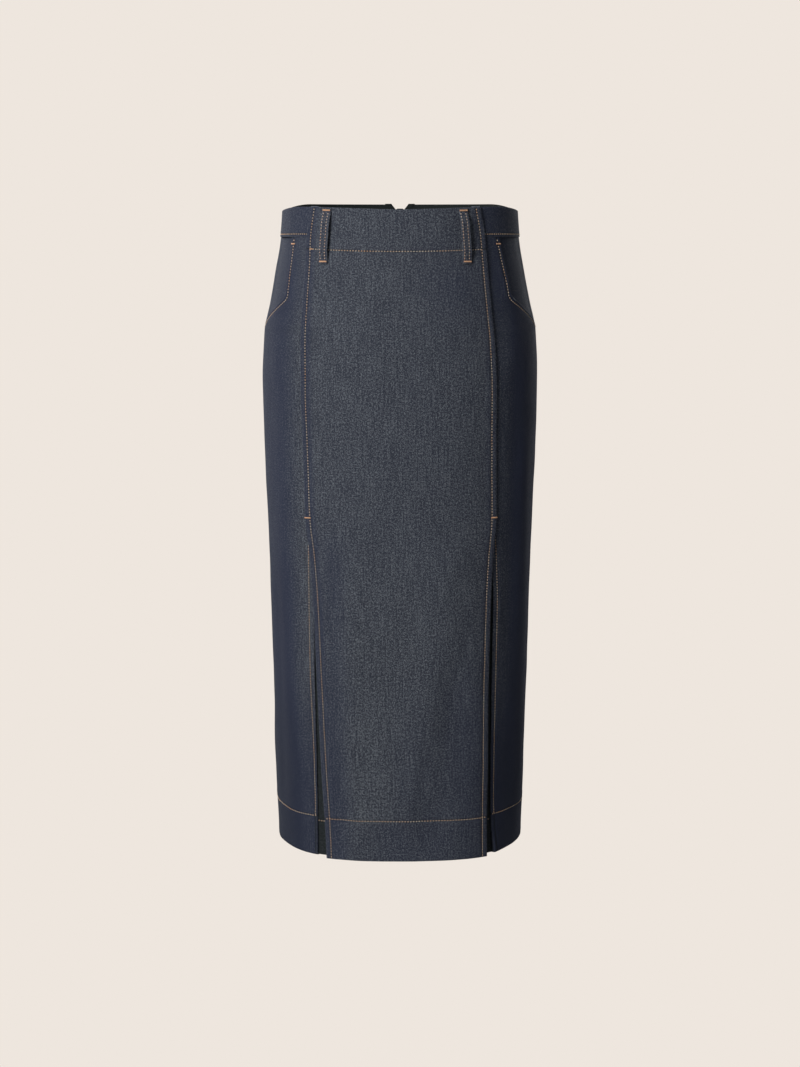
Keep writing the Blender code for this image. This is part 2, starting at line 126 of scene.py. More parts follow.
# ---- sewing ----
CENTRE_HEM_DEPTH, HEM_DEPTH, UNDERLAY_HEM_DEPTH = 48.0, 46.0, 40.0
FACING_DEPTH, FACING_SAG = 46.3, 3.0    # the waist topstitch at the middle, and its rise at the ends
SEAM_STITCH = 6.5            # from a turned edge to its topstitch
VENT_STITCH = (
    # height, inset from the left side panel's edge, and from the right one's
    (-352.0, 6.3, 6.3),
    (-480.0, 6.3, 5.9),
    (-540.0, 5.6, 5.5),
    (-597.0, 4.0, 5.0),
    (-650.0, 3.0, 4.7),
    (-700.0, 2.5, 4.5),
    (-750.0, 2.5, 4.5),
)
POCKET_STITCH, POCKET_TACK = 4.4, -38.0
BAND_STITCH = 3.2            # above the waistband's lower edge
WAIST_STITCH_ENDS, BAND_STITCH_ENDS = -44.0, -28.0    # levels at which those rows start
TURNING = 11.0               # cloth turned under at an edge

LOOP_WIDTH = 11.0
LOOP_TOP, LOOP_BOTTOM, LOOP_BOW = -1.0, -60.5, 3.2
LOOP_STITCHES = (3.5, -2.2)
ZIP_FOOT, TAPE_HALF_WIDTH = -190.0, 11.0
TOOTH_PITCH = 1.5
TACK_PITCH = 0.42
LOOPS = (
    # name, side, x at the top, x at the bottom, on the back
    ("belt_loop_front_left", -1, 81.7, 86.0, False),
    ("belt_loop_front_right", 1, 70.5, 75.6, False),
    ("belt_loop_back_left", -1, 58.0, 60.0, True),
    ("belt_loop_back_right", 1, 58.0, 60.0, True),
)


# ==== settings ====
def length_property(name, description, size, least, most):
    """A length given in millimetres."""
    return FloatProperty(name=name, description=description, default=size * MM, min=least * MM,
                         max=most * MM, unit="LENGTH", precision=5)


def colour_property(name, description, default):
    return FloatVectorProperty(name=name, description=description, default=default,
                               subtype="COLOR", min=0.0, max=1.0)


class SKIRT_PG_cloth(bpy.types.PropertyGroup):
    """Thickness, weave and colours of the denim."""

    thickness: length_property("Cloth", "Thickness of one layer of denim", 0.85, 0.3, 2.0)
    fold: length_property("Fold", "Radius of the outer face where an edge is turned", 0.88, 0.4, 3.0)
    end_pitch: length_property("Ends", "Distance between warp yarns", 0.42, 0.2, 2.0)
    pick_pitch: length_property("Picks", "Distance between weft yarns", 0.56, 0.2, 2.0)
    warp: colour_property("Warp", "Indigo of the warp yarns", (0.026, 0.030, 0.048))
    weft: colour_property("Weft", "Undyed weft yarns between the warp yarns", (0.228, 0.254, 0.286))
    # Colour of the painted shade, which darkens the cloth beside seams, at hems, in creases and towards the
    # sides.
    painted_shade: colour_property("Deep", "Indigo beside seams and towards the sides", (0.022, 0.029, 0.064))


class SKIRT_PG_thread(bpy.types.PropertyGroup):
    """Topstitches and bar tacks."""

    pitch: length_property("Pitch", "Distance from one stitch to the next", 3.3, 1.0, 10.0)
    length: length_property("Stitch", "Length of thread that shows", 1.65, 1.0, 10.0)
    width: length_property("Thread", "Width of the topstitching thread", 1.00, 0.2, 2.0)
    tan: colour_property("Tan", "Topstitching thread", (0.92, 0.82, 0.68))
    orange: colour_property("Orange", "Bar tacks and the warmer lengths of thread", (0.88, 0.50, 0.28))


class SKIRT_PG_stage(bpy.types.PropertyGroup):
    """Camera, lights and floor."""

    distance: FloatProperty(
        name="Distance", description="From the camera to the middle of the skirt",
        default=2.6, min=0.5, max=10.0, unit="LENGTH")
    elevation: FloatProperty(
        name="Elevation", description="How far above level the camera looks from",
        default=math.radians(8.0), min=0.0, max=1.5, subtype="ANGLE")
    lens: FloatProperty(
        name="Lens", description="Focal length on a 36 mm sensor",
        default=73.1, min=20.0, max=200.0, subtype="DISTANCE_CAMERA")
    floor: colour_property("Floor", "Pale floor and backdrop", (0.855, 0.791, 0.730))
    key: FloatProperty(
        name="Key", description="Power of the large light at the front left",
        default=68.0, min=0.0, max=1000.0, subtype="POWER")


class SKIRT_PG_settings(bpy.types.PropertyGroup):
    """Everything a user would change."""

    cloth: PointerProperty(type=SKIRT_PG_cloth)
    thread: PointerProperty(type=SKIRT_PG_thread)
    stage: PointerProperty(type=SKIRT_PG_stage)


def settings():
    return bpy.context.scene.denim_skirt


# ==== the body surface ====
def smooth_value(rows, height, column):
    """The column's value at each height, on a monotone cubic through the table's rows."""
    rows = sorted(rows)
    at = np.array([row[0] for row in rows])
    value = np.array([row[column] for row in rows])
    span = np.diff(at)
    rise = np.diff(value) / span
    agree = rise[:-1] * rise[1:] > 0
    slope = np.zeros(len(at))
    slope[1:-1][agree] = (2 * rise[:-1] * rise[1:])[agree] / (rise[:-1] + rise[1:])[agree]
    k = np.clip(np.searchsorted(at, height) - 1, 0, len(at) - 2)
    s = np.clip((height - at[k]) / span[k], 0, 1)
    return (value[k] * (1 + 2 * s) * (1 - s) ** 2 + slope[k] * span[k] * s * (1 - s) ** 2
            + value[k + 1] * s * s * (3 - 2 * s) - slope[k + 1] * span[k] * s * s * (1 - s))


def smooth_step(s):
    s = np.clip(s, 0.0, 1.0)
    return s * s * (3 - 2 * s)


def above(value, start, span):
    """Eases from 0 at start to 1 a span above it."""
    return smooth_step((value - start) / span)


def below(value, start, span):
    """Eases from 0 at start to 1 a span under it."""
    return smooth_step((start - value) / span)


def bell(distance, half_width):
    return np.exp(-((distance / half_width) ** 2))


def waist_rise(turn, level):
    """How far the waist edge, and what hangs from it, is raised at the back and beside the front."""
    off = np.abs(turn)
    back = above(off, 90.0, RISE_SPREAD) * np.clip(1 + (level + BAND_HEIGHT) / RISE_FADE, 0, 1)
    front = np.minimum(FRONT_SHARE + (1 - FRONT_SHARE) * off / FRONT_PEAK,
                       (90.0 - off) / (90.0 - FRONT_PEAK))
    return BACK_RISE * back + FRONT_RISE * smooth_step(front) * np.clip(1 + level / BAND_HEIGHT, 0, 1)


def hem_drop(turn, level):
    """How much lower the cloth beside a front vent hangs near its hem."""
    near = below(np.abs(turn), DROP_TURN, DROP_SPREAD)
    return HEM_DROP * near * np.clip(1 - (level - HEM) / DROP_HEIGHT, 0, 1)


def on_body(turn, level, lift):
    """World x, y and z, in millimetres, of points lifted outwards from the body surface."""
    turn, level, lift = np.broadcast_arrays(turn, level, lift)
    turn = (turn + 180.0) % 360.0 - 180.0
    height = level + waist_rise(turn, level)
    front = np.abs(turn) <= 90.0
    half_width = smooth_value(SECTIONS, height, 1)
    depth = np.where(front, smooth_value(SECTIONS, height, 2), smooth_value(SECTIONS, height, 3))
    square = np.where(front, smooth_value(SECTIONS, height, 4), BACK_SQUARENESS)
    side, fore = np.sin(np.radians(turn)), np.cos(np.radians(turn))
    x = half_width * np.sign(side) * np.abs(side) ** (2 / square)
    y = -depth * np.sign(fore) * np.abs(fore) ** (2 / square)
    nx = np.sign(x) * (np.abs(x) / half_width) ** (square - 1) / half_width
    ny = np.sign(y) * (np.abs(y) / depth) ** (square - 1) / depth
    size = np.hypot(nx, ny)
    return np.stack([x + lift * nx / size, y + lift * ny / size, height], axis=-1)


def turn_of_x(x, level, back=False):
    """The turn at which the body surface has this x."""
    half_width = smooth_value(SECTIONS, level, 1)
    square = BACK_SQUARENESS if back else smooth_value(SECTIONS, level, 4)
    turn = np.degrees(np.arcsin(np.clip(np.abs(x) / half_width, 0, 1) ** (square / 2)))
    return np.sign(x) * (180.0 - turn if back else turn)


class Girth:
    """Turns and arcs round the body, looked up on two tables with a row for each level."""

    LEVELS = np.arange(-790.0, 22.0, 2.0)
    TURNS = np.arange(-200.0, 200.5, 0.5)
    ARCS = np.arange(-560.0, 561.0, 1.0)

    def __init__(self):
        points = on_body(self.TURNS[None, :], self.LEVELS[:, None], 0.0)
        steps = np.linalg.norm(np.diff(points[..., :2], axis=1), axis=2)
        lengths = np.concatenate([np.zeros((len(steps), 1)), np.cumsum(steps, axis=1)], axis=1)
        lengths -= lengths[:, [len(self.TURNS) // 2]]
        self.arc_table = lengths
        self.turn_table = np.array([np.interp(self.ARCS, row, self.TURNS) for row in lengths])

    def look_up(self, table, axis, value, level):
        value, level = np.broadcast_arrays(np.asarray(value, float), np.asarray(level, float))
        down = np.clip((level - self.LEVELS[0]) / 2.0, 0, len(self.LEVELS) - 1.001)
        over = np.clip((value - axis[0]) / (axis[1] - axis[0]), 0, len(axis) - 1.001)
        i, j = down.astype(int), over.astype(int)
        a, b = down - i, over - j
        return ((table[i, j] * (1 - b) + table[i, j + 1] * b) * (1 - a)
                + (table[i + 1, j] * (1 - b) + table[i + 1, j + 1] * b) * a)

    def turn(self, arc, level):
        return self.look_up(self.turn_table, self.ARCS, arc, level)

    def arc(self, turn, level):
        return self.look_up(self.arc_table, self.TURNS, turn, level)


GIRTH = Girth()


# ==== relief of the cloth ====
SOFT_WAVES = (
    # along the arc, along the level (waves for each metre), phase, height
    (9.0, 3.0, 0.4, 0.10),
    (-6.0, 7.0, 2.1, 0.12),
    (15.0, 5.0, 4.4, 0.07),
    (4.0, 16.0, 1.3, 0.07),
    (-21.0, 11.0, 5.2, 0.04),
    (27.0, -9.0, 0.9, 0.035),
    (13.0, 24.0, 3.3, 0.035),
)

CREASES = (
    # arc and level of the start, arc and level of the end, half width, height (a trough below 0)
    (-78.0, -400.0, -64.0, -745.0, 8.0, -1.1),
    (-60.0, -470.0, -46.0, -752.0, 14.0, 0.9),
    (64.0, -380.0, 18.0, -700.0, 30.0, 2.4),
    (62.0, -520.0, 34.0, -745.0, 17.0, -1.9),
    (88.0, -420.0, 84.0, -750.0, 12.0, 0.9),
    (2.0, -165.0, 6.0, -200.0, 18.0, -0.7),
    (-26.0, -420.0, -30.0, -470.0, 16.0, -0.6),
    (-2.0, -62.0, 64.0, -78.0, 10.0, -0.7),
    (30.0, -610.0, 22.0, -735.0, 9.0, -0.9),
    (-150.0, -300.0, -128.0, -735.0, 20.0, 1.6),
    (-166.0, -430.0, -160.0, -700.0, 13.0, -1.0),
    (-178.0, -150.0, -172.0, -290.0, 15.0, -0.8),
    (146.0, -180.0, 138.0, -520.0, 14.0, -1.1),
    (164.0, -260.0, 170.0, -700.0, 15.0, 1.3),
    (132.0, -560.0, 146.0, -745.0, 12.0, -0.9),
    (250.0, -170.0, 235.0, -330.0, 18.0, -1.1),
    (-250.0, -190.0, -232.0, -380.0, 20.0, -1.0),
    (300.0, -400.0, 282.0, -740.0, 24.0, 2.0),
    (-296.0, -470.0, -284.0, -740.0, 26.0, 1.8),
    (340.0, -520.0, 332.0, -745.0, 15.0, -1.2),
    (-350.0, -440.0, -338.0, -745.0, 16.0, -1.3),
    (395.0, -250.0, 388.0, -420.0, 20.0, -0.9),
    (-392.0, -210.0, -386.0, -330.0, 17.0, -0.7),
    (222.0, -560.0, 228.0, -740.0, 14.0, -1.0),
    (-214.0, -600.0, -222.0, -742.0, 13.0, 0.9),
)


CREASE_DEPTH = 1.35
TAPER_SHARE, TAPER_MOST, TAPER_PAST = 0.45, 60.0, 0.4    # how a crease fades past its two ends
WAIST_HOLD = 60.0    # the waist keeps the cloth above this level smoother


def hang(arc, level):
    """Soft waves and creases of the hanging cloth, in millimetres of lift."""
    lift = np.zeros(np.broadcast(arc, level).shape)
    for across, down, phase, height in SOFT_WAVES:
        lift = lift + height * np.sin((across * arc + down * level) * 2 * math.pi * MM + phase)
    for arc_0, level_0, arc_1, level_1, half_width, height in CREASES:
        run = np.hypot(arc_1 - arc_0, level_1 - level_0)
        along = ((arc - arc_0) * (arc_1 - arc_0) + (level - level_0) * (level_1 - level_0)) / run
        aside = ((arc - arc_0) * (level_1 - level_0) - (level - level_0) * (arc_1 - arc_0)) / run
        taper = min(TAPER_SHARE * run, TAPER_MOST)
        ends = above(along, -TAPER_PAST * taper, taper) * below(along, run + TAPER_PAST * taper, taper)
        lift = lift + CREASE_DEPTH * height * bell(aside, half_width) * ends
    return lift * below(level, 0.0, WAIST_HOLD)


def roping(along, seed):
    """The uneven pucker of a sewn edge, between about -1 and 1."""
    return (0.55 * np.sin(along / 1.9 + seed) + 0.35 * np.sin(along / 3.1 + 2.3 * seed)
            + 0.25 * np.sin(along / 1.1 + 4.1 * seed) + 0.3 * np.sin(along / 7.3 + seed))


def sewn_edge(distance, along, stitch, seed):
    """Relief beside a turned and topstitched edge: a rolled edge, a sunk stitch, a ridge."""
    roll = 0.25 * bell(distance - stitch / 2, stitch / 2.6)
    sunk = -0.40 * bell(distance - stitch, 1.1)
    ridge = 0.30 * bell(distance - stitch - 4.2, 2.6)
    pucker = 0.15 * roping(along, seed) * bell(distance - stitch * 0.7, 4.6)
    return roll + sunk + ridge + pucker


FAR = 99.0    # further than any needle hole reaches


def needle_shade(*distances):
    """Painted shadow in the needle holes and the gaps between stitches, on lines this far away."""
    return 0.75 * sum(bell(distance, 0.75) for distance in distances)


def hem_relief(arc, level, bottom, hem, seed):
    """A hem: puffed fold, sunk topstitch and the ridge of its hidden edge, roped aslant."""
    up = level - bottom
    rope = 0.17 * roping(arc + 0.6 * up, seed) * bell(up - hem * 0.96, 7.0)
    return (0.25 * bell(up - 5.0, 5.0) - 0.34 * bell(up - hem, 0.9)
            + 0.28 * bell(up - hem - 4.0, 2.4) + rope
            + 0.12 * roping(arc * 0.6, seed + 1.0) * bell(up - 2.0, 8.0))


# ==== sheets of cloth ====
def turned(width, radius, hidden=3):
    """(inset, drop) of points from the raw edge of a turning, round its fold, to the face."""
    under = [(radius + (width - radius) * (1 - k / hidden), 2 * radius) for k in range(hidden)]
    bend = [(radius * (1 - math.sin(a)), radius * (1 + math.cos(a)))
            for a in np.linspace(0, math.pi, 7)]
    return under + bend


def unturned(*insets):
    """(inset, drop) of points on the face."""
    return [(inset, 0.0) for inset in insets]


def across(near, near_edge, shares, far, far_edge):
    """Rows or columns from one edge, through these shares of the way, to the other edge."""
    return ([(near, inset, drop) for inset, drop in near_edge] + [(share, 0.0, 0.0) for share in shares]
            + [(far, inset, drop) for inset, drop in reversed(far_edge)])


def lean_of(edge, level):
    """How much longer than the true distance an arc measured from a leaning edge is."""
    return np.sqrt(1 + (edge(level + 0.5) - edge(level - 0.5)) ** 2)


HEM_STITCH_ROWS = (-3.5, -2.4, -1.5, -0.9, -0.4, 0.0, 0.4, 0.9, 1.5, 2.4, 3.5, 5.0, 7.5)
EDGE_INSETS = (1.5, 2.2, 3.0, 3.8, 4.6, 5.3, 5.9, 6.4, 6.9, 7.5, 8.4, 9.6, 11.2, 13.2, 16.0, 20.0)
EDGE_ZONE, ZONE_SHARE = 24.0, 0.47    # most of a width that each edge's columns may take


class Panel:
    """A piece of cloth on the body: its edges as arcs at each level, its lift and its relief."""

    def __init__(self, name, left, right, top, bottom, lift=0.0, relief=None, hem=0.0, drop=False):
        self.name = name
        self.left, self.right = left, right
        self.top, self.bottom = top, bottom
        self.lift = lift if callable(lift) else (lambda arc, level: lift + 0.0 * level)
        self.relief = relief or (lambda arc, level: 0.0 * arc)
        self.hem, self.drop = hem, drop

    def inside(self, arc, level):
        """Distances inside the left and right edges."""
        return ((arc - self.left(level)) / lean_of(self.left, level),
                (self.right(level) - arc) / lean_of(self.right, level))

    def form(self, arc, level):
        return self.lift(arc, level) + hang(arc, level)

    def place(self, arc, level, lift):
        """World points, in metres, at a lift over the body."""
        turn = GIRTH.turn(arc, level)
        points = on_body(turn, level, lift)
        if self.drop:
            points[..., 2] -= hem_drop(turn, level)
        return points * MM

    def point(self, arc, level, out=0.0):
        """World points, in metres, on the panel's face."""
        arc, level = np.broadcast_arrays(np.asarray(arc, float), np.asarray(level, float))
        lift = self.form(arc, level) + self.relief(arc, level) + out
        return self.place(arc, level, lift)

    def lay(self, columns, rows, materials, tint=None, squeeze=True):
        """The sheet. A column is ("left" or "right", inset, drop) or (share, 0, 0) between them.

        A row is ("top" or "bottom", inset, drop) or (share, 0, 0). Where a turned side crosses a
        hem, it lies on the hem. Cloth turned both ways at a corner is left out.
        """
        fold = settings().cloth.fold / MM
        past_fold = 1.01 * fold
        level = np.zeros(len(rows))
        drop_row = np.array([row[2] for row in rows])
        for k, (anchor, inset, _) in enumerate(rows):
            if anchor == "bottom":
                level[k] = self.bottom + inset
            elif anchor == "top":
                level[k] = self.top - inset
            else:
                level[k] = self.bottom + anchor * (self.top - self.bottom)
        left, right = self.left(level), self.right(level)
        lean_left, lean_right = lean_of(self.left, level), lean_of(self.right, level)
        zone = ZONE_SHARE * (right - left) / (EDGE_ZONE * np.maximum(lean_left, lean_right))
        zone = np.minimum(1.0, zone) if squeeze else 1.0 + 0.0 * level
        arc = np.zeros((len(rows), len(columns)))
        drop_column = np.array([column[2] for column in columns])
        for k, (anchor, inset, drop) in enumerate(columns):
            shrink = 1.0 if drop > 0 else np.where(inset > past_fold, zone, 1.0)
            if anchor == "left":
                arc[:, k] = left + inset * lean_left * shrink
            elif anchor == "right":
                arc[:, k] = right - inset * lean_right * shrink
            else:
                reach = EDGE_ZONE * zone if squeeze else 0.0
                arc[:, k] = left + reach * lean_left + anchor * (
                    right - left - reach * (lean_left + lean_right))
        level = np.repeat(level[:, None], len(columns), axis=1)
        on_face = (1 - drop_row / (2 * fold))[:, None] * (1 - drop_column / (2 * fold))[None, :]
        stack = 1 + below(level, self.bottom + self.hem + 10.0, 6.0) * (self.hem > 0)
        lift = self.form(arc, level) + self.relief(arc, level) * on_face
        lift = lift - drop_row[:, None] - drop_column[None, :] * stack
        points = self.place(arc, level, lift)
        hidden_row = drop_row > past_fold
        gone = hidden_row[:, None] & (drop_column > 0.2 * fold)[None, :]
        near_left, near_right = self.inside(arc, level)
        nearest = np.minimum(np.abs(near_left), np.abs(near_right))
        outer_half = drop_column < 1.5 * fold
        # Painted highlight along folded side edges and the hem's fold, where a rounded fold catches the
        # light.
        painted_fold_highlight = bell(np.minimum(nearest, level - self.bottom), 0.9) * outer_half[None, :]
        inner = hidden_row[:, None] | (drop_column > past_fold)[None, :]
        # Each tint gives the painted shade (painted light where it is below 0) and the painted shadow.
        painted_shade, painted_shadow = tint(arc, level, nearest, points[..., 0] / MM, inner) if tint else (0.0, 0.0)
        tints = {"painted_fold_highlight": painted_fold_highlight, "painted_shade": painted_shade, "painted_shadow": painted_shadow}
        return sheet_object(self.name, points, gone, materials, tints)


def sheet_object(name, points, gone, materials, tints):
    """A grid of cloth moved to these points, with its thickness and a map in metres of cloth."""
    rows, columns = points.shape[:2]
    bm = bmesh.new()
    bmesh.ops.create_grid(bm, x_segments=columns - 1, y_segments=rows - 1, size=0.5)
    mesh = bpy.data.meshes.new(name)
    bm.to_mesh(mesh)
    bm.free()
    flat = np.zeros(len(mesh.vertices) * 3)
    mesh.vertices.foreach_get("co", flat)
    flat = flat.reshape(-1, 3)
    i = np.rint((flat[:, 0] + 0.5) * (columns - 1)).astype(int)
    j = np.rint((flat[:, 1] + 0.5) * (rows - 1)).astype(int)
    mesh.vertices.foreach_set("co", points[j, i].ravel())

    steps = np.linalg.norm(np.diff(points, axis=1), axis=2)
    u = np.concatenate([np.zeros((rows, 1)), np.cumsum(steps, axis=1)], axis=1)
    u -= u[:, [columns // 2]]
    down = np.linalg.norm(np.diff(points[:, columns // 2], axis=0), axis=1)
    v = np.concatenate([[0.0], np.cumsum(down)])
    corner = np.zeros(len(mesh.loops), dtype=int)
    mesh.loops.foreach_get("vertex_index", corner)
    uv = np.stack([u[j, i], v[j]], axis=1)[corner]
    mesh.uv_layers.new(name="cloth").data.foreach_set("uv", uv.ravel())
    for tint, values in tints.items():
        layer = mesh.attributes.new(tint, "FLOAT", "POINT")
        layer.data.foreach_set("value", np.broadcast_to(values, (rows, columns))[j, i].ravel())

    if gone.any():
        bm = bmesh.new()
        bm.from_mesh(mesh)
        bm.verts.ensure_lookup_table()
        dropped = [bm.verts[k] for k in np.nonzero(gone[j, i])[0]]
        bmesh.ops.delete(bm, geom=dropped, context="VERTS")
        bm.to_mesh(mesh)
        bm.free()
    mesh.shade_smooth()
    for material in materials:
        mesh.materials.append(material)
    piece = bpy.data.objects.new(name, mesh)
    bpy.context.collection.objects.link(piece)
    wall = piece.modifiers.new("cloth", "SOLIDIFY")
    wall.thickness = settings().cloth.thickness
    wall.offset = -1.0
    wall.material_offset = len(materials) - 1
    return piece


def even(count):
    return np.arange(count + 1) / count


def side_columns(inner=30, turning=TURNING):
    """Columns of a panel with both sides turned under."""
    edge = turned(turning, settings().cloth.fold / MM) + unturned(*EDGE_INSETS)
    return across("left", edge, even(inner), "right", edge)


def raw_columns(inner):
    """Columns of a panel whose side edges are raw, and hidden."""
    edge = unturned(0.0, 2.0, 5.0, 9.0, 14.0, 19.0)
    return across("left", edge, even(inner), "right", edge)


def raw_rows(count):
    return [(share, 0.0, 0.0) for share in even(count)]


def hem_rows(panel, top_turning, count, close=()):
    """Rows from the hem's hidden edge, round its fold, to the turned top.

    Levels in close are rows too, in place of the even ones between its first and last.
    """
    fold = settings().cloth.fold / MM
    foot = turned(panel.hem + 4.0, fold, 8) + unturned(1.6, 2.6, 4.0, 6.0, 9.0)
    foot += unturned(*np.arange(12.0, panel.hem - 4.0, 3.2))
    foot += unturned(*(panel.hem + off for off in HEM_STITCH_ROWS))
    tall = panel.top - panel.bottom
    shares = np.linspace((panel.hem + 10.0) / tall, 1 - 9.0 / tall, count)
    if len(close):
        more = (np.asarray(close) - panel.bottom) / tall
        shares = np.sort(np.concatenate([shares[(shares < more[0]) | (shares > more[-1])], more]))
    return across("bottom", foot, shares, "top", turned(top_turning, fold, 4) + unturned(1.6, 2.6, 4.0, 6.0))


# ==== shader maths ====
class Value:
    """A shader socket that can be written in an expression."""

    def __init__(self, web, socket):
        self.web, self.socket = web, socket

    def math(self, operation, *others):
        return self.web.node("ShaderNodeMath", {"operation": operation}, [self, *others])

    def __add__(self, other): return self.math("ADD", other)
    def __radd__(self, other): return self.math("ADD", other)
    def __sub__(self, other): return self.math("SUBTRACT", other)
    def __mul__(self, other): return self.math("MULTIPLY", other)
    def __rmul__(self, other): return self.math("MULTIPLY", other)
    def __mod__(self, other): return self.math("FLOORED_MODULO", other)
    def __lt__(self, other): return self.math("LESS_THAN", other)

    def __rsub__(self, other):
        return self.web.node("ShaderNodeMath", {"operation": "SUBTRACT"}, [other, self])

    def floor(self): return self.math("FLOOR")
    def sine(self): return self.math("SINE")
    def clamped(self, low=0.0, high=1.0): return self.math("MAXIMUM", low).math("MINIMUM", high)

    def part(self, name):
        return Value(self.web, self.socket.node.outputs[name])


class Web:
    """The nodes of one material."""

    def __init__(self, name):
        self.material = bpy.data.materials.new(name)
        self.material.use_nodes = True
        self.tree = self.material.node_tree
        self.shader = self.tree.nodes["Principled BSDF"]

    def node(self, kind, made_with=None, inputs=None, output=0):
        """A node with its settings, then the values or links of its sockets, by place or name."""
        made = self.tree.nodes.new(kind)
        for key, value in (made_with or {}).items():
            setattr(made, key, value)
        pairs = enumerate(inputs) if isinstance(inputs, (list, tuple)) else (inputs or {}).items()
        for key, value in pairs:
            self.plug(made.inputs[key], value)
        return Value(self, made.outputs[output])

    def plug(self, socket, value):
        if isinstance(value, Value):
            self.tree.links.new(value.socket, socket)
        else:
            socket.default_value = value

    def mixed(self, share, first, second):
        """A colour between two colours or colour sockets."""
        made = self.tree.nodes.new("ShaderNodeMix")
        made.data_type = "RGBA"
        by_name = {socket.identifier: socket for socket in made.inputs}
        for name, value in (("Factor_Float", share), ("A_Color", first), ("B_Color", second)):
            self.plug(by_name[name], (*value, 1.0) if isinstance(value, tuple) else value)
        return Value(self, next(s for s in made.outputs if s.identifier == "Result_Color"))

    def weave(self):
        """The cloth's own map, and its parts across and along the warp, in metres."""
        uv = self.node("ShaderNodeUVMap", {"uv_map": "cloth"})
        axes = self.node("ShaderNodeSeparateXYZ", {}, [uv])
        return uv, axes.part("X"), axes.part("Y")

    def attribute(self, name):
        return self.node("ShaderNodeAttribute", {"attribute_name": name}, output="Fac")

    def stretched(self, vector, x, y, z=1.0):
        inputs = {"Vector": vector, "Scale": (x, y, z)}
        return self.node("ShaderNodeMapping", {"vector_type": "POINT"}, inputs)

    def noise(self, vector, scale, detail=2.0, roughness=0.5):
        inputs = {"Vector": vector, "Scale": scale, "Detail": detail, "Roughness": roughness}
        return self.node("ShaderNodeTexNoise", {"noise_dimensions": "3D"}, inputs, "Fac")

    def finish(self, colour, roughness, height, depth, **fixed):
        for key, value in fixed.items():
            self.shader.inputs[key.replace("_", " ")].default_value = value
        self.plug(self.shader.inputs["Base Color"], colour)
        self.plug(self.shader.inputs["Roughness"], roughness)
        bump = self.node("ShaderNodeBump", {}, {"Strength": 1.0, "Distance": depth, "Height": height})
        self.plug(self.shader.inputs["Normal"], bump)
        return self.material


# Colour of the painted shadow.
SHADE_COLOUR = (0.0035, 0.0080, 0.0048)


def twill(x, y, lean, wobble=0.0):
    """The round of each warp yarn, of each weft yarn, and where the hidden yarn comes up."""
    cloth = settings().cloth
    end = x * (1 / cloth.end_pitch) + wobble
    pick = y * (1 / cloth.pick_pitch) + wobble
    end_number, pick_number = end.floor(), pick.floor()
    over_end = ((end - end_number) * math.pi).sine()
    over_pick = ((pick - pick_number) * math.pi).sine()
    return over_end, over_pick, (((end_number + pick_number * lean) % 4.0) < 0.5) * over_end * over_pick


def denim_face():
    """Right-hand twill: indigo warp over undyed weft, with slubs and flecks, a painted highlight on folded
    edges, and the panels' painted shade and shadow.
    """
    cloth = settings().cloth
    web = Web("denim_face")
    uv, x, y = web.weave()
    wobble = (web.noise(uv, 260.0, 1.0) - 0.5) * 0.9
    over_end, over_pick, weft = twill(x, y, -1.0, wobble)

    flecks = web.noise(web.stretched(uv, 1.0, 0.7), 980.0, 2.0, 0.7) - 0.5
    grain = web.noise(web.stretched(uv, 1.0, 0.8), 460.0, 3.0, 0.8) - 0.5
    slubs = web.noise(web.stretched(uv, 1.0, 0.05), 620.0, 2.0, 0.6) - 0.5
    patches = web.noise(web.stretched(uv, 1.0, 0.4), 42.0, 3.0, 0.55) - 0.5
    painted_shade, painted_fold_highlight, painted_shadow = web.attribute("painted_shade"), web.attribute("painted_fold_highlight"), web.attribute("painted_shadow")

    salt = weft * 0.30 + flecks * 4.0 + grain * 2.8 + slubs * 1.1 + patches * 0.30
    # Painted shade darkens and blues the cloth and hides its grain; below 0 it paints light. The painted
    # highlight lightens folded edges.
    show = 0.155 + salt * (1.0 - 0.66 * painted_shade) - painted_shade * 0.125 + painted_fold_highlight * 0.16
    base = web.mixed(painted_shade.clamped(), tuple(cloth.warp), tuple(cloth.painted_shade))
    colour = web.mixed(show.clamped(), base, tuple(cloth.weft))
    # Painted shadow, near black: in the needle holes, behind the vents and on the waistband's inner face.
    colour = web.mixed(painted_shadow.clamped(), colour, SHADE_COLOUR)
    height = (over_end * (1.0 - weft) * 0.5 + over_pick * weft * 0.8
              + grain * 1.6 + slubs * 0.9 + flecks)
    return web.finish(colour, 0.82 + grain * 0.2, height, 0.16 * MM, Sheen_Weight=0.03, Sheen_Roughness=0.4)


def denim_reverse():
    """The wrong side: undyed weft over indigo warp."""
    web = Web("denim_reverse")
    uv, x, y = web.weave()
    _, over_pick, warp = twill(x, y, 1.0)
    grain = web.noise(uv, 420.0, 3.0, 0.7) - 0.5
    shade = (0.25 + warp * 0.6 + grain * 0.8).clamped()
    colour = web.mixed(shade, (0.17, 0.19, 0.23), (0.045, 0.055, 0.09))
    return web.finish(colour, 0.9, over_pick * 0.8 + warp * 0.6 + grain, 0.15 * MM, Sheen_Weight=0.1)


def pocketing_cotton():
    """Plain-woven ecru pocketing."""
    web = Web("pocketing_cotton")
    uv, x, y = web.weave()
    over = (x * (math.pi / (0.45 * MM))).sine() * (y * (math.pi / (0.5 * MM))).sine()
    grain = web.noise(uv, 300.0, 3.0, 0.6)
    share = (0.5 + over * 0.25 + (grain - 0.5) * 0.7).clamped()
    colour = web.mixed(share, (0.50, 0.48, 0.43), (0.66, 0.64, 0.58))
    return web.finish(colour, 0.9, over + grain, 0.08 * MM, Sheen_Weight=0.1)


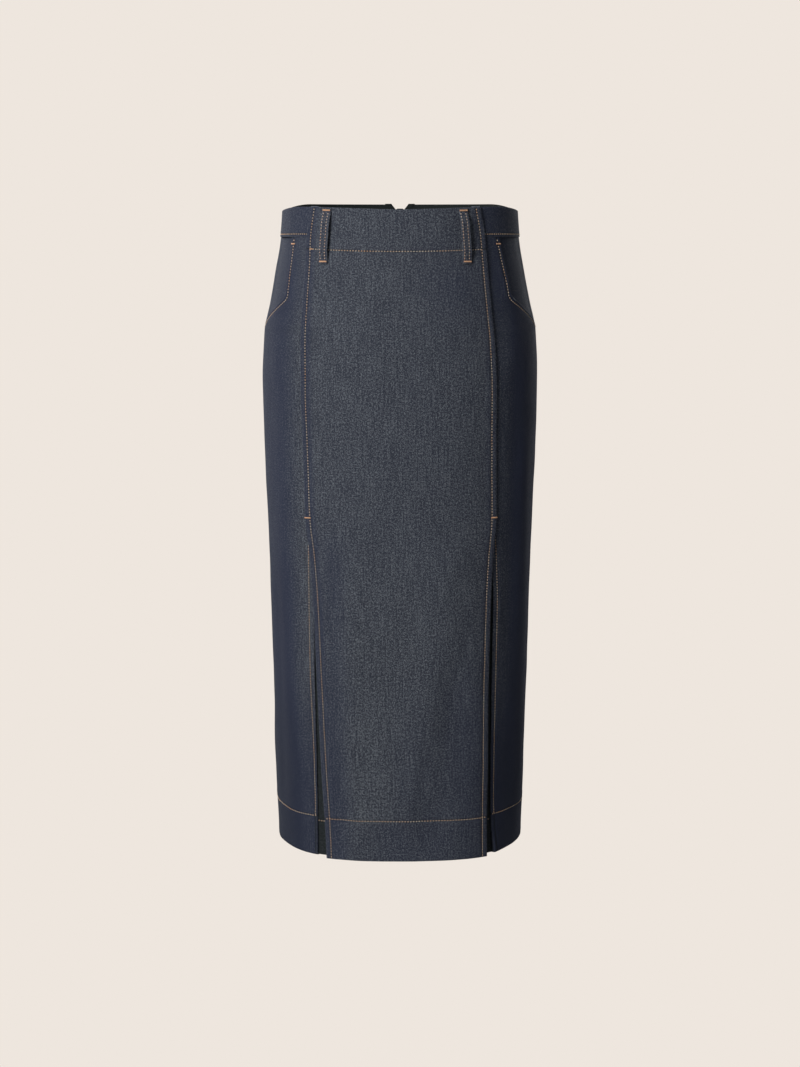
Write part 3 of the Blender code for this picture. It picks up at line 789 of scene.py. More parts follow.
def zip_tape_cloth():
    """Dark ribbed tape."""
    web = Web("zip_tape_cloth")
    rib = (web.weave()[1] * (2 * math.pi / (0.9 * MM))).sine()
    colour = web.mixed(0.5 + rib * 0.5, (0.012, 0.015, 0.028), (0.035, 0.042, 0.065))
    return web.finish(colour, 0.75, rib, 0.06 * MM)


def thread_cotton(name, first, second):
    """Glazed, twisted thread whose colour drifts along a seam."""
    web = Web(name)
    at = web.node("ShaderNodeTexCoord", output="Object")
    drift = web.noise(at, 45.0, 2.0, 0.6)
    speck = web.noise(at, 700.0, 2.0, 0.6)
    twist = web.noise(web.stretched(at, 1.0, 1.0, 2.4), 2400.0, 1.0)
    share = (0.5 + (drift - 0.5) * 2.2 + (speck - 0.5) * 0.8).clamped()
    colour = web.mixed(share, tuple(first), tuple(second))
    return web.finish(colour, 0.55, twist, 0.08 * MM, Sheen_Weight=0.2)


def dark_metal():
    """Enamelled zip metal, rubbed in small random patches."""
    web = Web("enamelled_metal")
    at = web.node("ShaderNodeTexCoord", output="Object")
    scuff = web.noise(at, 900.0, 3.0, 0.7)
    colour = web.mixed((scuff * 1.6 - 0.6).clamped(), (0.045, 0.05, 0.06), (0.16, 0.165, 0.17))
    return web.finish(colour, 0.28 + scuff * 0.25, scuff, 0.02 * MM, Metallic=0.85)


MATERIALS = {}


def material(name):
    """One material for each finish, made when it is first asked for."""
    thread = settings().thread
    threads = {
        "zip_coil_nylon": ((0.02, 0.024, 0.035), (0.05, 0.055, 0.07)),
        "topstitch_thread": (thread.tan, thread.orange),
        "tack_thread": (thread.orange, thread.orange),
    }
    makers = {
        "denim_face": denim_face,
        "denim_reverse": denim_reverse,
        "pocketing_cotton": pocketing_cotton,
        "zip_tape_cloth": zip_tape_cloth,
        "zip_metal": dark_metal,
    }
    if name not in MATERIALS:
        MATERIALS[name] = thread_cotton(name, *threads[name]) if name in threads else makers[name]()
    return MATERIALS[name]


def denim():
    return [material("denim_face"), material("denim_reverse")]


# ==== the panels of the skirt ====
def seam_arc(column, level):
    level = np.asarray(level, float)
    return GIRTH.arc(turn_of_x(smooth_value(SEAMS, level, column), level), level)


def centre_lift(arc, level):
    down = np.clip((TACK - level) / (TACK - CENTRE_HEM), 0, 1)
    return CENTRE_LIFT + CENTRE_SWING * down ** 1.2


def waist_line(arc):
    """Level of the centre panel's waist topstitch."""
    return -FACING_DEPTH + FACING_SAG * (arc / 112.0) ** 2


def centre_panel():
    def relief(arc, level):
        left, right = arc - seam_arc(1, level), seam_arc(2, level) - arc
        under = waist_line(arc) - level
        return (sewn_edge(left, level, SEAM_STITCH, 1.0) + sewn_edge(right, level, SEAM_STITCH, 2.7)
                + hem_relief(arc, level, CENTRE_HEM, CENTRE_HEM_DEPTH, 0.6)
                - 0.32 * bell(under, 0.9) + 0.18 * bell(under - 3.5, 2.2)
                + 0.12 * roping(arc, 3.0) * bell(under, 4.0) + 0.14 * bell(-level - 2.5, 2.4))

    return Panel("centre_panel", lambda level: seam_arc(1, level), lambda level: seam_arc(2, level),
                 0.0, CENTRE_HEM, centre_lift, relief, CENTRE_HEM_DEPTH)


def side_seam_arc(level):
    return GIRTH.arc(90.0, level)


def pocket_arc(side, level):
    """The pocket opening's edge with its corners eased."""
    return sum(pocket_line(side, np.asarray(level, float) + off) for off in EASING) / len(EASING)


def pocket_line(side, level):
    """The pocket opening's edge down to its corner, then its slant to the side seam."""
    top_x, corner_x = POCKETS[side]
    x = top_x + (corner_x - top_x) * (level + BAND_HEIGHT) / (POCKET_CORNER_Z + BAND_HEIGHT)
    corner = turn_of_x(corner_x, POCKET_CORNER_Z)
    slant = corner + (90.0 - corner) * (level - POCKET_CORNER_Z) / (POCKET_END_Z - POCKET_CORNER_Z)
    turn = np.where(level > POCKET_CORNER_Z, turn_of_x(x, level), np.minimum(slant, 90.0))
    return GIRTH.arc(turn, level) - SEAM_GAP / 2


def on_side(name, side, inner, outer, top, bottom, **rest):
    """A panel from its edges nearer to and further from the front centre, on one side."""
    left, right = (outer, inner) if side < 0 else (inner, outer)
    word = dict((sign, word) for word, sign in SIDES)[side]
    return Panel(f"{name}_{word}", lambda level: side * left(level), lambda level: side * right(level),
                 top, bottom, **rest)


def side_panel(side):
    inner = lambda level: side * seam_arc(SIDE_EDGE[side], level)
    outer = lambda level: pocket_arc(side, level)

    def relief(arc, level):
        arc = side * arc
        from_vent = arc - inner(level)
        from_side = (outer(level) - arc) / lean_of(outer, level)
        in_pocket = above(level, POCKET_END_Z, 6.0)
        vent = below(level, TACK + 8.0, 10.0)
        stitch = smooth_value(VENT_STITCH, level, 1 if side < 0 else 2)
        gape = 0.9 * bell(level + 84.0, 30.0) * bell(from_side, 14.0)
        flare = (2.4 if side > 0 else 0.9) * bell(level - HEM, 30.0) * bell(from_vent, 9.0)
        return (vent * sewn_edge(from_vent, level, stitch, 4.0 + side)
                + in_pocket * (sewn_edge(from_side, level, POCKET_STITCH, 6.0 + side) + gape)
                - (1 - in_pocket) * 0.5 * bell(from_side, 0.8)
                + hem_relief(arc, level, HEM, HEM_DEPTH, 2.0 + side) + flare)

    return on_side("side_panel", side, inner, outer, BAND_FOOT, HEM,
                   relief=relief, hem=HEM_DEPTH, drop=True)


def facing_panel(side):
    """Shows inside the pocket opening; it is sewn into the side seam, where it comes level."""
    def inner(level):
        corner = GIRTH.arc(turn_of_x(POCKETS[side][1], level), level)
        return np.minimum(pocket_arc(side, level), corner) - FACING_UNDERLAP

    def lift(arc, level):
        inside = smooth_step((side_seam_arc(level) - side * arc) / 17.0 + 0.04)
        behind_band = above(level, -BAND_HEIGHT - 2.0, 3.0)
        return FACING_LIFT * np.maximum(inside, behind_band)

    outer = lambda level: side_seam_arc(level) - SEAM_GAP / 2
    return on_side("facing_cloth", side, inner, outer, FACING_TUCK - BAND_HEIGHT,
                   POCKET_END_Z - FACING_UNDERLAP, lift=lift)


def bag_panel(side):
    """Rounded in at its foot."""
    def narrow(level):
        near_foot = np.maximum(0.0, 1 - (level - POCKET_BAG_FOOT) / POCKET_BAG_ROUND)
        return POCKET_BAG_ROUND / 2 * near_foot ** 2

    inner = lambda level: GIRTH.arc(turn_of_x(POCKET_BAG_REACH + narrow(level), level), level)
    outer = lambda level: side_seam_arc(level) - POCKET_BAG_SHORT - narrow(level)
    return on_side("bag_cotton", side, inner, outer, BAND_FOOT, POCKET_BAG_FOOT, lift=POCKETING_LIFT)


def underlay_panel(side):
    def edge(column, more):
        return lambda level: GIRTH.arc(turn_of_x(
            side * smooth_value(SEAMS, np.asarray(level, float), column) + more, level), level)

    def relief(arc, level):
        return 0.7 * hem_relief(arc, level, HEM, UNDERLAY_HEM_DEPTH, 7.0 + side)

    return on_side("underlay_cloth", side, edge(CENTRE_EDGE[side], -UNDERLAY_IN),
                   edge(SIDE_EDGE[side], UNDERLAY_OUT), VENT_TOP, HEM,
                   lift=UNDERLAY_LIFT, relief=relief, hem=UNDERLAY_HEM_DEPTH, drop=True)


def back_panel(side):
    centre = lambda level: GIRTH.arc(180.0, level) - SEAM_GAP / 2
    outer = lambda level: side_seam_arc(level) + SEAM_GAP / 2

    def relief(arc, level):
        arc = side * arc
        from_centre = centre(level) - arc
        return (-0.5 * bell(from_centre, 0.9) - 0.5 * bell(arc - outer(level), 0.8)
                + 0.12 * roping(level, 8.0 + side) * bell(from_centre, 5.0)
                + hem_relief(arc, level, HEM, HEM_DEPTH, 5.0 + side))

    return on_side("back_panel", side, outer, centre, BAND_FOOT, HEM, relief=relief, hem=HEM_DEPTH)


def band_panel(side):
    """The waistband, from under the centre panel to the notch at the back centre."""
    def end(level):
        over_notch = np.maximum(0.0, np.asarray(level, float) + NOTCH_DEPTH)
        return GIRTH.arc(180.0, level) - SEAM_GAP / 2 - NOTCH_HALF_WIDTH * over_notch / NOTCH_DEPTH

    def relief(arc, level):
        up = level + BAND_HEIGHT
        return (-0.30 * bell(up - BAND_STITCH, 0.8)
                + 0.13 * roping(arc, 9.0 + side) * bell(up - BAND_STITCH, 4.0)
                + 0.16 * np.sin(arc / 23.0 + side) * bell(up - 16.0, 9.0))

    return on_side("band_cloth", side, lambda level: side * seam_arc(SIDE_EDGE[side], level), end,
                   0.0, -BAND_HEIGHT, lift=BAND_LIFT, relief=relief)


def loop_panel(name, side, top_x, bottom_x, back):
    """A strap sewn down at both ends, bowed out so that a belt passes behind it."""
    sewn_to = (BAND_LIFT if back else CENTRE_LIFT) + 2 * settings().cloth.fold / MM + 0.15

    def height(level):
        return (level - LOOP_BOTTOM) / (LOOP_TOP - LOOP_BOTTOM)

    def middle(level):
        x = side * (bottom_x + (top_x - bottom_x) * height(level))
        return GIRTH.arc(turn_of_x(x, level, back), level)

    def lift(arc, level):
        return sewn_to + LOOP_BOW * above(height(level), 0.05, 0.22) * below(height(level), 0.95, 0.22)

    def relief(arc, level):
        off = arc - middle(level)
        sunk = -0.22 * bell(off + LOOP_STITCHES[0], 0.7) - 0.22 * bell(off + LOOP_STITCHES[1], 0.7)
        return sunk + 0.18 * bell(off - 0.7, 1.3) + 0.10 * roping(level, side * top_x)

    return Panel(name + "_cloth", lambda level: middle(level) - LOOP_WIDTH / 2,
                 lambda level: middle(level) + LOOP_WIDTH / 2, LOOP_TOP, LOOP_BOTTOM, lift, relief)


def tape_panel(side):
    """One half of the zip's tape, behind the centre back seam."""
    inner = lambda level: GIRTH.arc(180.0, level) - TAPE_HALF_WIDTH
    outer = lambda level: GIRTH.arc(180.0, level) - 0.5
    return on_side("zip_tape", side, inner, outer, -NOTCH_DEPTH - 1.0, ZIP_FOOT - BACK_RISE, lift=TAPE_LIFT)


PANELS = {}


def panel(kind, side=0):
    """Each panel's layout, made once, since its stitches lie on it too."""
    makers = {"side": side_panel, "back": back_panel, "underlay": underlay_panel, "band": band_panel,
              "facing": facing_panel, "bag": bag_panel, "tape": tape_panel}
    if (kind, side) not in PANELS:
        PANELS[kind, side] = centre_panel() if kind == "centre" else makers[kind](side)
    return PANELS[kind, side]


# ==== seams and threads ====
def measure(lay, arcs, levels):
    """The running length of a line drawn on a panel."""
    points = lay.point(arcs, levels)
    steps = np.linalg.norm(np.diff(points, axis=0), axis=1)
    return np.concatenate([[0.0], np.cumsum(steps)])


def stitch_frames(lay, arcs, levels, pitch, out):
    """A matrix for each stitch: its X along the line, its Z away from the cloth."""
    run = measure(lay, arcs, levels)
    count = max(1, int(run[-1] / pitch))
    at = (np.arange(count) + 0.5) * run[-1] / count

    def point(s, lift):
        return lay.point(np.interp(s, run, arcs), np.interp(s, run, levels), lift)

    middle = point(at, out)
    ahead, behind = point(at + 0.4 * pitch, out), point(at - 0.4 * pitch, out)
    away = point(at, out + 1.0) - middle
    frames = []
    for centre, direction, normal in zip(middle, ahead - behind, away):
        along = Vector(direction).normalized()
        up = Vector(normal)
        up = (up - along * up.dot(along)).normalized()
        beside = up.cross(along)
        turn = Matrix((along, beside, up)).transposed().to_4x4()
        frames.append(Matrix.Translation(Vector(centre)) @ turn)
    return frames


class Needle:
    """Sews stitches into one mesh, each a small thread-shaped bead sunk into the cloth."""

    def __init__(self, name, finish):
        self.beads = []
        self.name, self.finish = name, finish

    def bead(self, where, length, width, height):
        size = Matrix.Diagonal((length / 2, width / 2, height / 2, 1.0))
        self.beads.append(np.array(where @ size @ Matrix.Rotation(math.pi / 2, 4, "Y")))

    def line(self, lay, arcs, levels, out=0.24):
        """A row of topstitches along a line on a panel."""
        thread = settings().thread
        for k, where in enumerate(stitch_frames(lay, arcs, levels, thread.pitch, out)):
            tilt = Matrix.Rotation(math.radians(5.0 + 2.0 * math.sin(k * 1.7)), 4, "Z")
            length = thread.length * (1 + 0.05 * math.sin(k * 2.9))
            self.bead(where @ tilt, length, thread.width * 1.1, thread.width)

    def tack(self, lay, arcs, levels, width, out=0.0):
        """A bar tack: a close zigzag of thread."""
        thread = settings().thread.width
        run = measure(lay, arcs, levels)[-1]
        count = int(run / (TACK_PITCH * MM))
        for k, where in enumerate(stitch_frames(lay, arcs, levels, run / count, out + 0.1)):
            swing = Matrix.Rotation(math.pi / 2 + (0.22 if k % 2 else -0.22), 4, "Z")
            self.bead(where @ swing, width * (1 + 0.08 * math.sin(k * 2.3)), thread * 0.75, thread)

    def sewn(self, slot="denim"):
        """Joins the beads, which are all one rounded shape moved and stretched."""
        bm = bmesh.new()
        bmesh.ops.create_uvsphere(bm, u_segments=6, v_segments=6, radius=1.0)
        round_shape = np.array([(*vert.co, 1.0) for vert in bm.verts])
        sides = [[vert.index for vert in face.verts] for face in bm.faces]
        bm.free()
        points = (np.array(self.beads) @ round_shape.T).transpose(0, 2, 1)[..., :3].reshape(-1, 3)
        faces = [[k * len(round_shape) + corner for corner in side]
                 for k in range(len(self.beads)) for side in sides]
        mesh = bpy.data.meshes.new(self.name)
        mesh.from_pydata(points.tolist(), [], faces)
        mesh.shade_smooth()
        mesh.materials.append(material(self.finish))
        piece = bpy.data.objects.new(self.name, mesh)
        bpy.context.collection.objects.link(piece)
        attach(piece, CLOTH_BODY)
        return piece


def down(start, end, step=2.0):
    """Levels from start down to end."""
    return np.linspace(start, end, max(2, int(abs(start - end) / step)))


# ==== operators ====
class SkirtPiece(bpy.types.Operator):
    """Base of the skirt's operators."""

    bl_options = {"REGISTER", "UNDO"}

    def cloth(self, piece, node, flat, area=None, slot="denim"):
        """Attaches a finished sheet to the skirt and hides the node it stands for. The size it was cut to is
        not used.
        """
        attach(piece, CLOTH_BODY)
        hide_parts(node)


class SKIRT_OT_centre_panel(SkirtPiece):
    """Lay the front centre panel, with its turned edges, hem and top facing"""

    bl_idname = "skirt.centre_panel"
    bl_label = "Front centre panel"

    def execute(self, context):
        def tint(arc, level, nearest, x, inner):
            # Painted shade on the centre panel: beside its seams (more on the left), at the hem, over the
            # upper part, low down, towards the lower right, in a patch high on the right and down a crease
            # inside the left vent. Painted shadow at the lower right and in the needle holes.
            strip = np.where(arc < 0, 0.80, 0.52) * below(nearest, 18.0, 9.0)
            hem = 0.45 * below(level, CENTRE_HEM + CENTRE_HEM_DEPTH, 5.0)
            low = below(level, -480.0, 220.0) * (1 - bell(arc + 30.0, 34.0))
            right = above(arc + 0.16 * (level + 500.0), 10.0, 70.0) * below(level, -420.0, 160.0)
            cloud = 0.4 * bell(arc - 66.0, 40.0) * bell(level + 85.0, 45.0)
            foot = below(level, -600.0, 100.0)
            trough = 0.50 * bell(arc + 78.0 - 5.0 * foot, 15.0 + 6.0 * foot) * below(level, -335.0, 80.0)
            # Painted light: a lighter column low down, left of the middle.
            column = 0.28 * bell(arc + 42.0, 24.0) * below(level, -540.0, 120.0)
            body = 0.14 * above(level, -500.0, 120.0)
            shade = np.clip(body + 0.38 * low + 0.38 * right + cloud + trough, 0, 0.9)
            holes = needle_shade(nearest - SEAM_STITCH, level - CENTRE_HEM - CENTRE_HEM_DEPTH,
                                 waist_line(arc) - level)
            return np.maximum(np.maximum(strip, hem), shade) - column, 0.05 * right * low + holes

        lay = panel("centre")
        rows = hem_rows(lay, FACING_DEPTH + 3.0, 230, np.arange(-50.0, -41.0, 0.6))
        piece = lay.lay(side_columns(44), rows, denim(), tint)
        self.cloth(piece, "front_centre_panel", (0.250, 0.856), 0.190)
        return {"FINISHED"}


class SKIRT_OT_side_panels(SkirtPiece):
    """Lay the two front side panels, with their pocket openings and vent edges"""

    bl_idname = "skirt.side_panels"
    bl_label = "Front side panels"

    def execute(self, context):
        for word, side in SIDES:
            def tint(arc, level, nearest, x, inner):
                # Painted shade on the side panels: towards the sides, at the top and low down, the right
                # panel more all over. Painted light: a lighter strip beside the left vent's seam and a
                # lighter band on the right panel. Painted shadow low down towards the sides and in the
                # needle holes.
                outer = above(np.abs(x), 108.0 if side < 0 else 100.0, 32.0)
                low = below(level, -500.0, 180.0)
                painted_shade = outer + 0.5 * above(level, -150.0, 70.0) + 0.8 * low
                if side < 0:
                    painted_shade += below(level, -360.0, 120.0) * (0.15 + 0.25 * outer)
                    painted_shade -= 0.38 * bell(np.abs(x) - 101.0, 9.0) * bell(level + 230.0, 150.0)
                else:
                    painted_shade += 0.32 - 0.55 * bell(np.abs(x) - 123.0, 9.0)
                vent = smooth_value(VENT_STITCH, level, 1 if side < 0 else 2) + FAR * (level > TACK)
                pocket = POCKET_STITCH + FAR * (level < POCKET_END_Z)
                holes = needle_shade(nearest - vent, nearest - pocket, level - HEM - HEM_DEPTH)
                painted_shadow = (0.22 if side < 0 else 0.12) * low * (0.4 + 0.6 * outer)
                return np.clip(painted_shade, -0.4, 1.3), painted_shadow + holes

            lay = panel("side", side)
            piece = lay.lay(side_columns(16, 9.0), hem_rows(lay, 8.0, 215), denim(), tint)
            self.cloth(piece, f"front_side_{word}", (0.145, 0.81), 0.096)
        return {"FINISHED"}


class SKIRT_OT_pockets(SkirtPiece):
    """Lay the facing that shows in each pocket opening, and the bag behind it"""

    bl_idname = "skirt.pockets"
    bl_label = "Pockets"

    def execute(self, context):
        for word, side in SIDES:
            # The pocket facing is painted in full shade, with a little painted shadow, since it lies back in
            # the opening.
            piece = panel("facing", side).lay(raw_columns(14), raw_rows(60), denim(),
                                              lambda *place: (1.0, 0.06))
            self.cloth(piece, f"pocket_facing_{word}", (0.095, 0.130), 0.0107)
            cotton = [material("pocketing_cotton")]
            piece = panel("bag", side).lay(raw_columns(16), raw_rows(80), cotton)
            self.cloth(piece, f"pocket_bag_{word}", (0.115, 0.256), 0.024, slot="pocketing")
        return {"FINISHED"}


class SKIRT_OT_vent_underlays(SkirtPiece):
    """Lay the strips that show behind the two front vents"""

    bl_idname = "skirt.vent_underlays"
    bl_label = "Vent underlays"

    def execute(self, context):
        for word, side in SIDES:
            lay = panel("underlay", side)
            rows = hem_rows(lay, 5.0, 100)
            # The underlay is painted in near-black shadow, with a little painted shade.
            piece = lay.lay(side_columns(10, 6.0), rows, denim(), lambda *place: (0.2, 0.80))
            self.cloth(piece, f"vent_underlay_{word}", (0.080, 0.455), 0.033)
        return {"FINISHED"}


class SKIRT_OT_back_panels(SkirtPiece):
    """Lay the two back panels, which meet at the centre back seam"""

    bl_idname = "skirt.back_panels"
    bl_label = "Back panels"

    def execute(self, context):
        def tint(arc, level, nearest, x, inner):
            # Painted shade on the back panels: a little all over, more beside their edges, towards the sides
            # and at the hem. Painted shadow in the hem's needle holes.
            outer = above(np.abs(x), 118.0, 22.0)
            hem = below(level, HEM + HEM_DEPTH, 5.0)
            painted_shade = 0.15 + 0.5 * bell(nearest - 3.0, 8.0) + 0.6 * outer + 0.3 * hem
            return np.clip(painted_shade, 0, 1), needle_shade(level - HEM - HEM_DEPTH)

        for word, side in SIDES:
            lay = panel("back", side)
            piece = lay.lay(side_columns(44, 10.0), hem_rows(lay, 8.0, 200), denim(), tint)
            self.cloth(piece, f"back_{word}", (0.262, 0.81), 0.197)
        return {"FINISHED"}


class SKIRT_OT_waistband(SkirtPiece):
    """Fold the waistband's two halves over the waist edge, down to the notch at the back"""

    bl_idname = "skirt.waistband"
    bl_label = "Waistband"

    def execute(self, context):
        fold = settings().cloth.fold / MM
        foot = turned(fold, fold, 0) + unturned(1.4, 1.9, 2.4, 2.8, 3.2, 3.6, 4.0, 4.5, 5.2, 6.2, 8.0)
        head = turned(BAND_HEIGHT - 2.6, fold, 8) + unturned(1.5, 2.4, 3.6, 5.0)
        shares = np.linspace(10.0, BAND_HEIGHT - 7.0, 8) / BAND_HEIGHT
        rows = across("bottom", foot, shares, "top", head)

        def tint(arc, level, nearest, x, inner):
            # Painted shade over the whole band; its turned-in inner layer is painted in near-black shadow,
            # and its needle holes in painted shadow.
            holes = needle_shade(level + BAND_HEIGHT - BAND_STITCH)
            return 0.85, np.where(inner & (level > -BAND_HEIGHT + 2.2), 0.92, holes)

        for word, side in SIDES:
            piece = panel("band", side).lay(side_columns(90, 6.0), rows, denim(), tint)
            self.cloth(piece, f"waistband_{word}", (0.320, 0.062), 0.0190)
        return {"FINISHED"}


class SKIRT_OT_belt_loops(SkirtPiece):
    """Fold the four belt loops, with two rows of stitches and a bar tack at each end"""

    bl_idname = "skirt.belt_loops"
    bl_label = "Belt loops"

    def execute(self, context):
        fold = settings().cloth.fold / MM
        edge = turned(4.9, fold, 2) + unturned(1.2, 1.6, 2.0, 2.5, 3.2, 4.0, 4.8)
        columns = across("left", edge, [0.5], "right", edge)
        ends = turned(7.0, fold, 3) + unturned(1.6, 2.6, 3.8)
        rows = across("bottom", ends, np.linspace(0.09, 0.91, 40), "top", ends)
        sewing, tacks = Needle("loop_stitches", "topstitch_thread"), Needle("loop_tacks", "tack_thread")
        for loop in LOOPS:
            lay = loop_panel(*loop)
            # The loops get an even share of painted shade.
            piece = lay.lay(columns, rows, denim()[:1], lambda *place: (0.30, 0.0), squeeze=False)
            self.cloth(piece, loop[0], (0.022, 0.074))
            levels = down(LOOP_TOP - 4.0, LOOP_BOTTOM + 4.5)
            for off in LOOP_STITCHES:
                sewing.line(lay, lay.left(levels) + LOOP_WIDTH / 2 - off, levels, 0.05)
            for level in (LOOP_TOP - 2.0, LOOP_BOTTOM + 2.8):
                arcs = lay.left(level) + np.linspace(1.0, LOOP_WIDTH - 1.0, 6)
                tacks.tack(lay, arcs, level + 0.0 * arcs, 1.9 * MM, 0.25)
        sewing.sewn()
        tacks.sewn()
        return {"FINISHED"}


class SKIRT_OT_zip(SkirtPiece):
    """Lay the two halves of the zip's tape and its coil, and finish its metal"""

    bl_idname = "skirt.zip"
    bl_label = "Back zip"

    def execute(self, context):
        coil = Needle("zip_coil", "zip_coil_nylon")
        for side in (-1, 1):
            lay = panel("tape", side)
            piece = lay.lay(raw_columns(4), raw_rows(70), [material("zip_tape_cloth")])
            self.cloth(piece, "zip_tape", (0.0105, 0.186), slot="zip_tape")
            levels = np.arange(ZIP_FOOT - BACK_RISE + 6.0, -NOTCH_DEPTH - 3.0, TOOTH_PITCH)
            levels = levels + side * TOOTH_PITCH / 4
            arcs = side * (GIRTH.arc(180.0, levels) - 1.3)
            for point in lay.point(arcs, levels, -1.5):
                coil.bead(Matrix.Translation(Vector(point)), 3.4 * MM, 0.8 * MM, 0.85 * MM)
        coil.sewn(slot="zip_tape")
        for node in ("zip_slider", "zip_pull"):
            for place in bpy.data.objects[node].material_slots:
                place.material = material("zip_metal")
        return {"FINISHED"}


class SKIRT_OT_topstitching(SkirtPiece):
    """Sew the topstitches along the seams, vents, pockets, waist and hems"""

    bl_idname = "skirt.topstitching"
    bl_label = "Topstitching"

    def execute(self, context):
        needles = {}
        for name, lay, arcs, levels in self.rows():
            needle = needles.setdefault(name, Needle(name, "topstitch_thread"))
            needle.line(lay, arcs, levels + 0.0 * arcs)
        for needle in needles.values():
            needle.sewn()
        return {"FINISHED"}

    def rows(self):
        """The piece that each row of stitches goes to, its panel, and its arcs and levels."""
        centre = panel("centre")
        levels = down(-1.0, CENTRE_HEM + 1.0)
        yield "front_seam_stitches", centre, centre.left(levels) + SEAM_STITCH, levels
        yield "front_seam_stitches", centre, centre.right(levels) - SEAM_STITCH, levels
        levels = down(TACK - 2.0, HEM + HEM_DEPTH)
        for side in (-1, 1):
            inset = smooth_value(VENT_STITCH, levels, 1 if side < 0 else 2)
            arcs = side * (side * seam_arc(SIDE_EDGE[side], levels) + inset)
            yield "vent_stitches", panel("side", side), arcs, levels
        for side in (-1, 1):
            for top, foot in ((-BAND_HEIGHT - 1.5, POCKET_TACK + 1.6), (POCKET_TACK - 1.6, POCKET_END_Z)):
                levels = down(top, foot, 1.0)
                edge = pocket_arc(side, levels)
                lean = np.sqrt(1 + np.gradient(edge, levels) ** 2)
                yield "pocket_stitches", panel("side", side), side * (edge - POCKET_STITCH * lean), levels
        arcs = np.linspace(seam_arc(1, WAIST_STITCH_ENDS) + SEAM_STITCH,
                           seam_arc(2, WAIST_STITCH_ENDS) - SEAM_STITCH, 60)
        yield "waist_stitches", centre, arcs, waist_line(arcs)
        for side in (-1, 1):
            start = side * seam_arc(CENTRE_EDGE[side], BAND_STITCH_ENDS) - 4.0
            arcs = side * np.linspace(start, GIRTH.arc(180.0, BAND_STITCH_ENDS) - 2.0, 200)
            yield "waist_stitches", panel("band", side), arcs, -BAND_HEIGHT + BAND_STITCH
        level = CENTRE_HEM + CENTRE_HEM_DEPTH
        arcs = np.linspace(centre.left(level) + 2.0, centre.right(level) - 2.0, 100)
        yield "hem_stitches", centre, arcs, level
        for side in (-1, 1):
            for kind, hem in (("side", HEM_DEPTH), ("back", HEM_DEPTH), ("underlay", UNDERLAY_HEM_DEPTH)):
                lay = panel(kind, side)
                arcs = np.linspace(lay.left(HEM + hem) + 1.0, lay.right(HEM + hem) - 1.0, 100)
                yield "hem_stitches", lay, arcs, HEM + hem


class SKIRT_OT_bar_tacks(SkirtPiece):
    """Sew the bar tacks at the vents and the pocket openings"""

    bl_idname = "skirt.bar_tacks"
    bl_label = "Bar tacks"

    def execute(self, context):
        needle, centre = Needle("bar_tacks", "tack_thread"), panel("centre")
        left, right = panel("side", -1), panel("side", 1)
        spots = (
            # panel, arc of the tack's start, level, length
            (centre, centre.left(TACK), TACK, 7.6),
            (centre, centre.right(TACK) - 7.6, TACK, 7.6),
            (left, left.left(POCKET_TACK) + 0.9, POCKET_TACK, 6.8),
            (right, right.right(POCKET_TACK) - 7.7, POCKET_TACK, 6.8),
        )
        for lay, arc, level, length in spots:
            arcs = arc + np.linspace(0.0, length, 6)
            needle.tack(lay, arcs, level + 0.0 * arcs, 1.7 * MM, 0.5)
        arcs = seam_arc(1, WAIST_STITCH_ENDS) + SEAM_STITCH + np.linspace(-0.5, 4.0, 6)
        needle.tack(centre, arcs, waist_line(arcs), 1.2 * MM, 0.4)
        needle.sewn()
        return {"FINISHED"}


SOFTBOXES = (
    # name, place, width, share of the key's power
    ("key", (-1.75, -2.35, 0.9), 1.5, 1.0),
    ("fill", (2.4, -1.6, 0.2), 2.0, 0.02),
    ("back_left", (-1.9, 2.4, 0.9), 1.8, 0.60),
    ("back_right", (1.6, 2.6, 0.5), 2.0, 0.35),
)
STUDIO_COLOUR, STUDIO_STRENGTH = (0.95, 0.97, 1.0, 1.0), 0.11
MIDDLE = Vector((0.0, 0.0, -0.383))
FLOOR_LEVEL, DOME_RADIUS = -1.25, 9.0


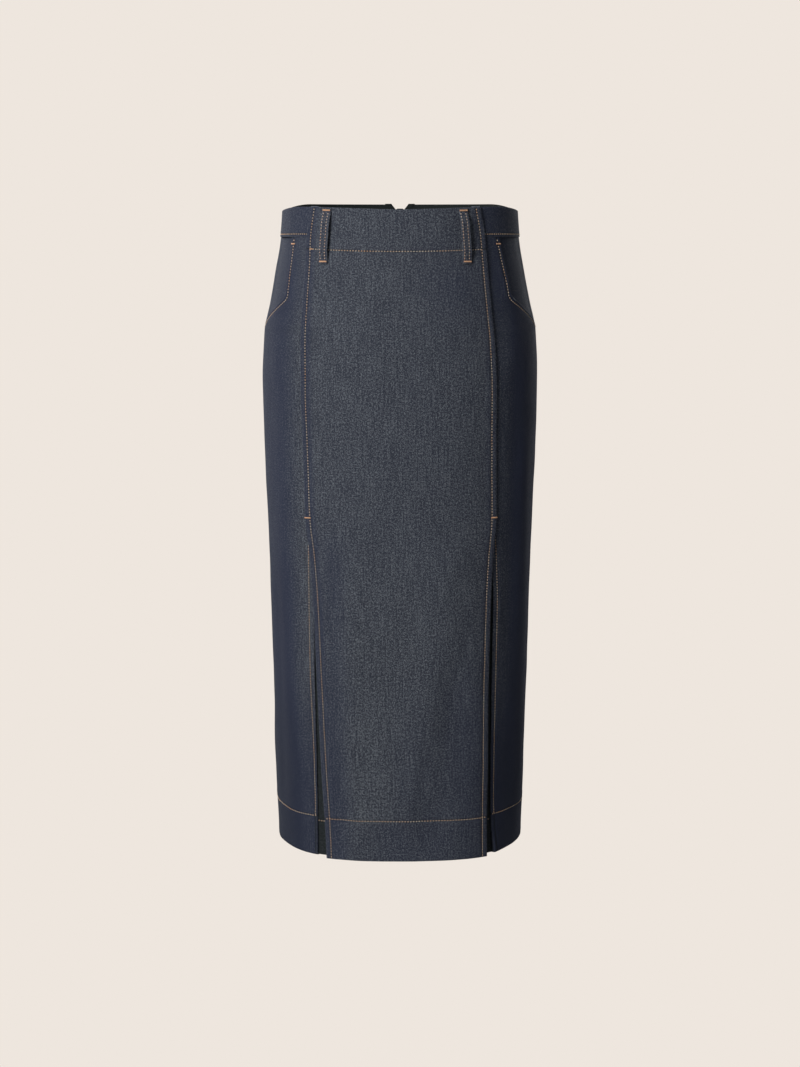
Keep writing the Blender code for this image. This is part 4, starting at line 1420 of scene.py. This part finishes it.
class SKIRT_OT_stage(SkirtPiece):
    """Set up the pale floor, the soft lights and the camera"""

    bl_idname = "skirt.stage"
    bl_label = "Stage"

    def execute(self, context):
        stage = settings().stage
        self.backdrop(stage)
        self.camera(context, stage)
        for name, place, width, share in SOFTBOXES:
            data = bpy.data.lights.new(name, "AREA")
            data.shape = "DISK"
            data.size = width
            data.energy = share * stage.key
            self.aimed(name, data, Vector(place), MIDDLE - Vector(place))
        world = bpy.data.worlds.new("studio")
        world.use_nodes = True
        glow = world.node_tree.nodes["Background"].inputs
        glow["Color"].default_value = STUDIO_COLOUR
        glow["Strength"].default_value = STUDIO_STRENGTH
        context.scene.world = world
        context.scene.view_settings.view_transform = "Standard"
        return {"FINISHED"}

    def aimed(self, name, data, place, aim):
        """A lamp or a camera at a place, looking along aim."""
        made = bpy.data.objects.new(name, data)
        made.location = place
        made.rotation_euler = aim.to_track_quat("-Z", "Y").to_euler()
        bpy.context.collection.objects.link(made)
        return made

    def camera(self, context, stage):
        data = bpy.data.cameras.new("camera")
        data.lens = stage.lens
        data.sensor_width = 36.0
        data.clip_end = 50.0
        out = Vector((0.0, -math.cos(stage.elevation), math.sin(stage.elevation)))
        context.scene.camera = self.aimed("camera", data, MIDDLE + out * stage.distance, -out)

    def backdrop(self, stage):
        """A flat floor under a wide dome, which glows evenly and doesn't light the cloth."""
        web = Web("pale_floor")
        looks = {"Emission Color": (*stage.floor, 1.0), "Emission Strength": 1.0,
                 "Base Color": (0.0, 0.0, 0.0, 1.0), "Specular IOR Level": 0.0}
        for name, value in looks.items():
            web.shader.inputs[name].default_value = value
        bm = bmesh.new()
        bmesh.ops.create_uvsphere(bm, u_segments=48, v_segments=24, radius=DOME_RADIUS)
        for vert in bm.verts:
            vert.co.z = max(vert.co.z, FLOOR_LEVEL)
        bmesh.ops.remove_doubles(bm, verts=bm.verts, dist=0.001)
        bmesh.ops.recalc_face_normals(bm, faces=bm.faces)
        bmesh.ops.reverse_faces(bm, faces=bm.faces)
        mesh = bpy.data.meshes.new("floor")
        bm.to_mesh(mesh)
        bm.free()
        mesh.materials.append(web.material)
        floor = bpy.data.objects.new("floor", mesh)
        floor.visible_diffuse = floor.visible_glossy = floor.visible_shadow = False
        bpy.context.collection.objects.link(floor)


class SKIRT_PT_sidebar(bpy.types.Panel):
    """Lists the skirt's pieces"""

    bl_label = "Denim skirt"
    bl_idname = "SKIRT_PT_sidebar"
    bl_space_type = "VIEW_3D"
    bl_region_type = "UI"
    bl_category = "Skirt"

    def draw(self, context):
        for group in (settings().cloth, settings().thread, settings().stage):
            box = self.layout.box()
            for key in group.__annotations__:
                box.prop(group, key)
        for operator in OPERATORS:
            self.layout.operator(operator.bl_idname)


GROUPS = (SKIRT_PG_cloth, SKIRT_PG_thread, SKIRT_PG_stage, SKIRT_PG_settings)
OPERATORS = (SKIRT_OT_centre_panel, SKIRT_OT_side_panels, SKIRT_OT_pockets, SKIRT_OT_vent_underlays,
             SKIRT_OT_back_panels, SKIRT_OT_waistband, SKIRT_OT_belt_loops, SKIRT_OT_zip,
             SKIRT_OT_topstitching, SKIRT_OT_bar_tacks, SKIRT_OT_stage)


def register():
    for made in (*GROUPS, *OPERATORS, SKIRT_PT_sidebar):
        bpy.utils.register_class(made)
    bpy.types.Scene.denim_skirt = PointerProperty(type=SKIRT_PG_settings)


def unregister():
    del bpy.types.Scene.denim_skirt
    for made in reversed((*GROUPS, *OPERATORS, SKIRT_PT_sidebar)):
        bpy.utils.unregister_class(made)


def main():
    register()
    for operator in OPERATORS:
        group, name = operator.bl_idname.split(".")
        getattr(getattr(bpy.ops, group), name)()


if __name__ == "__main__":
    main()
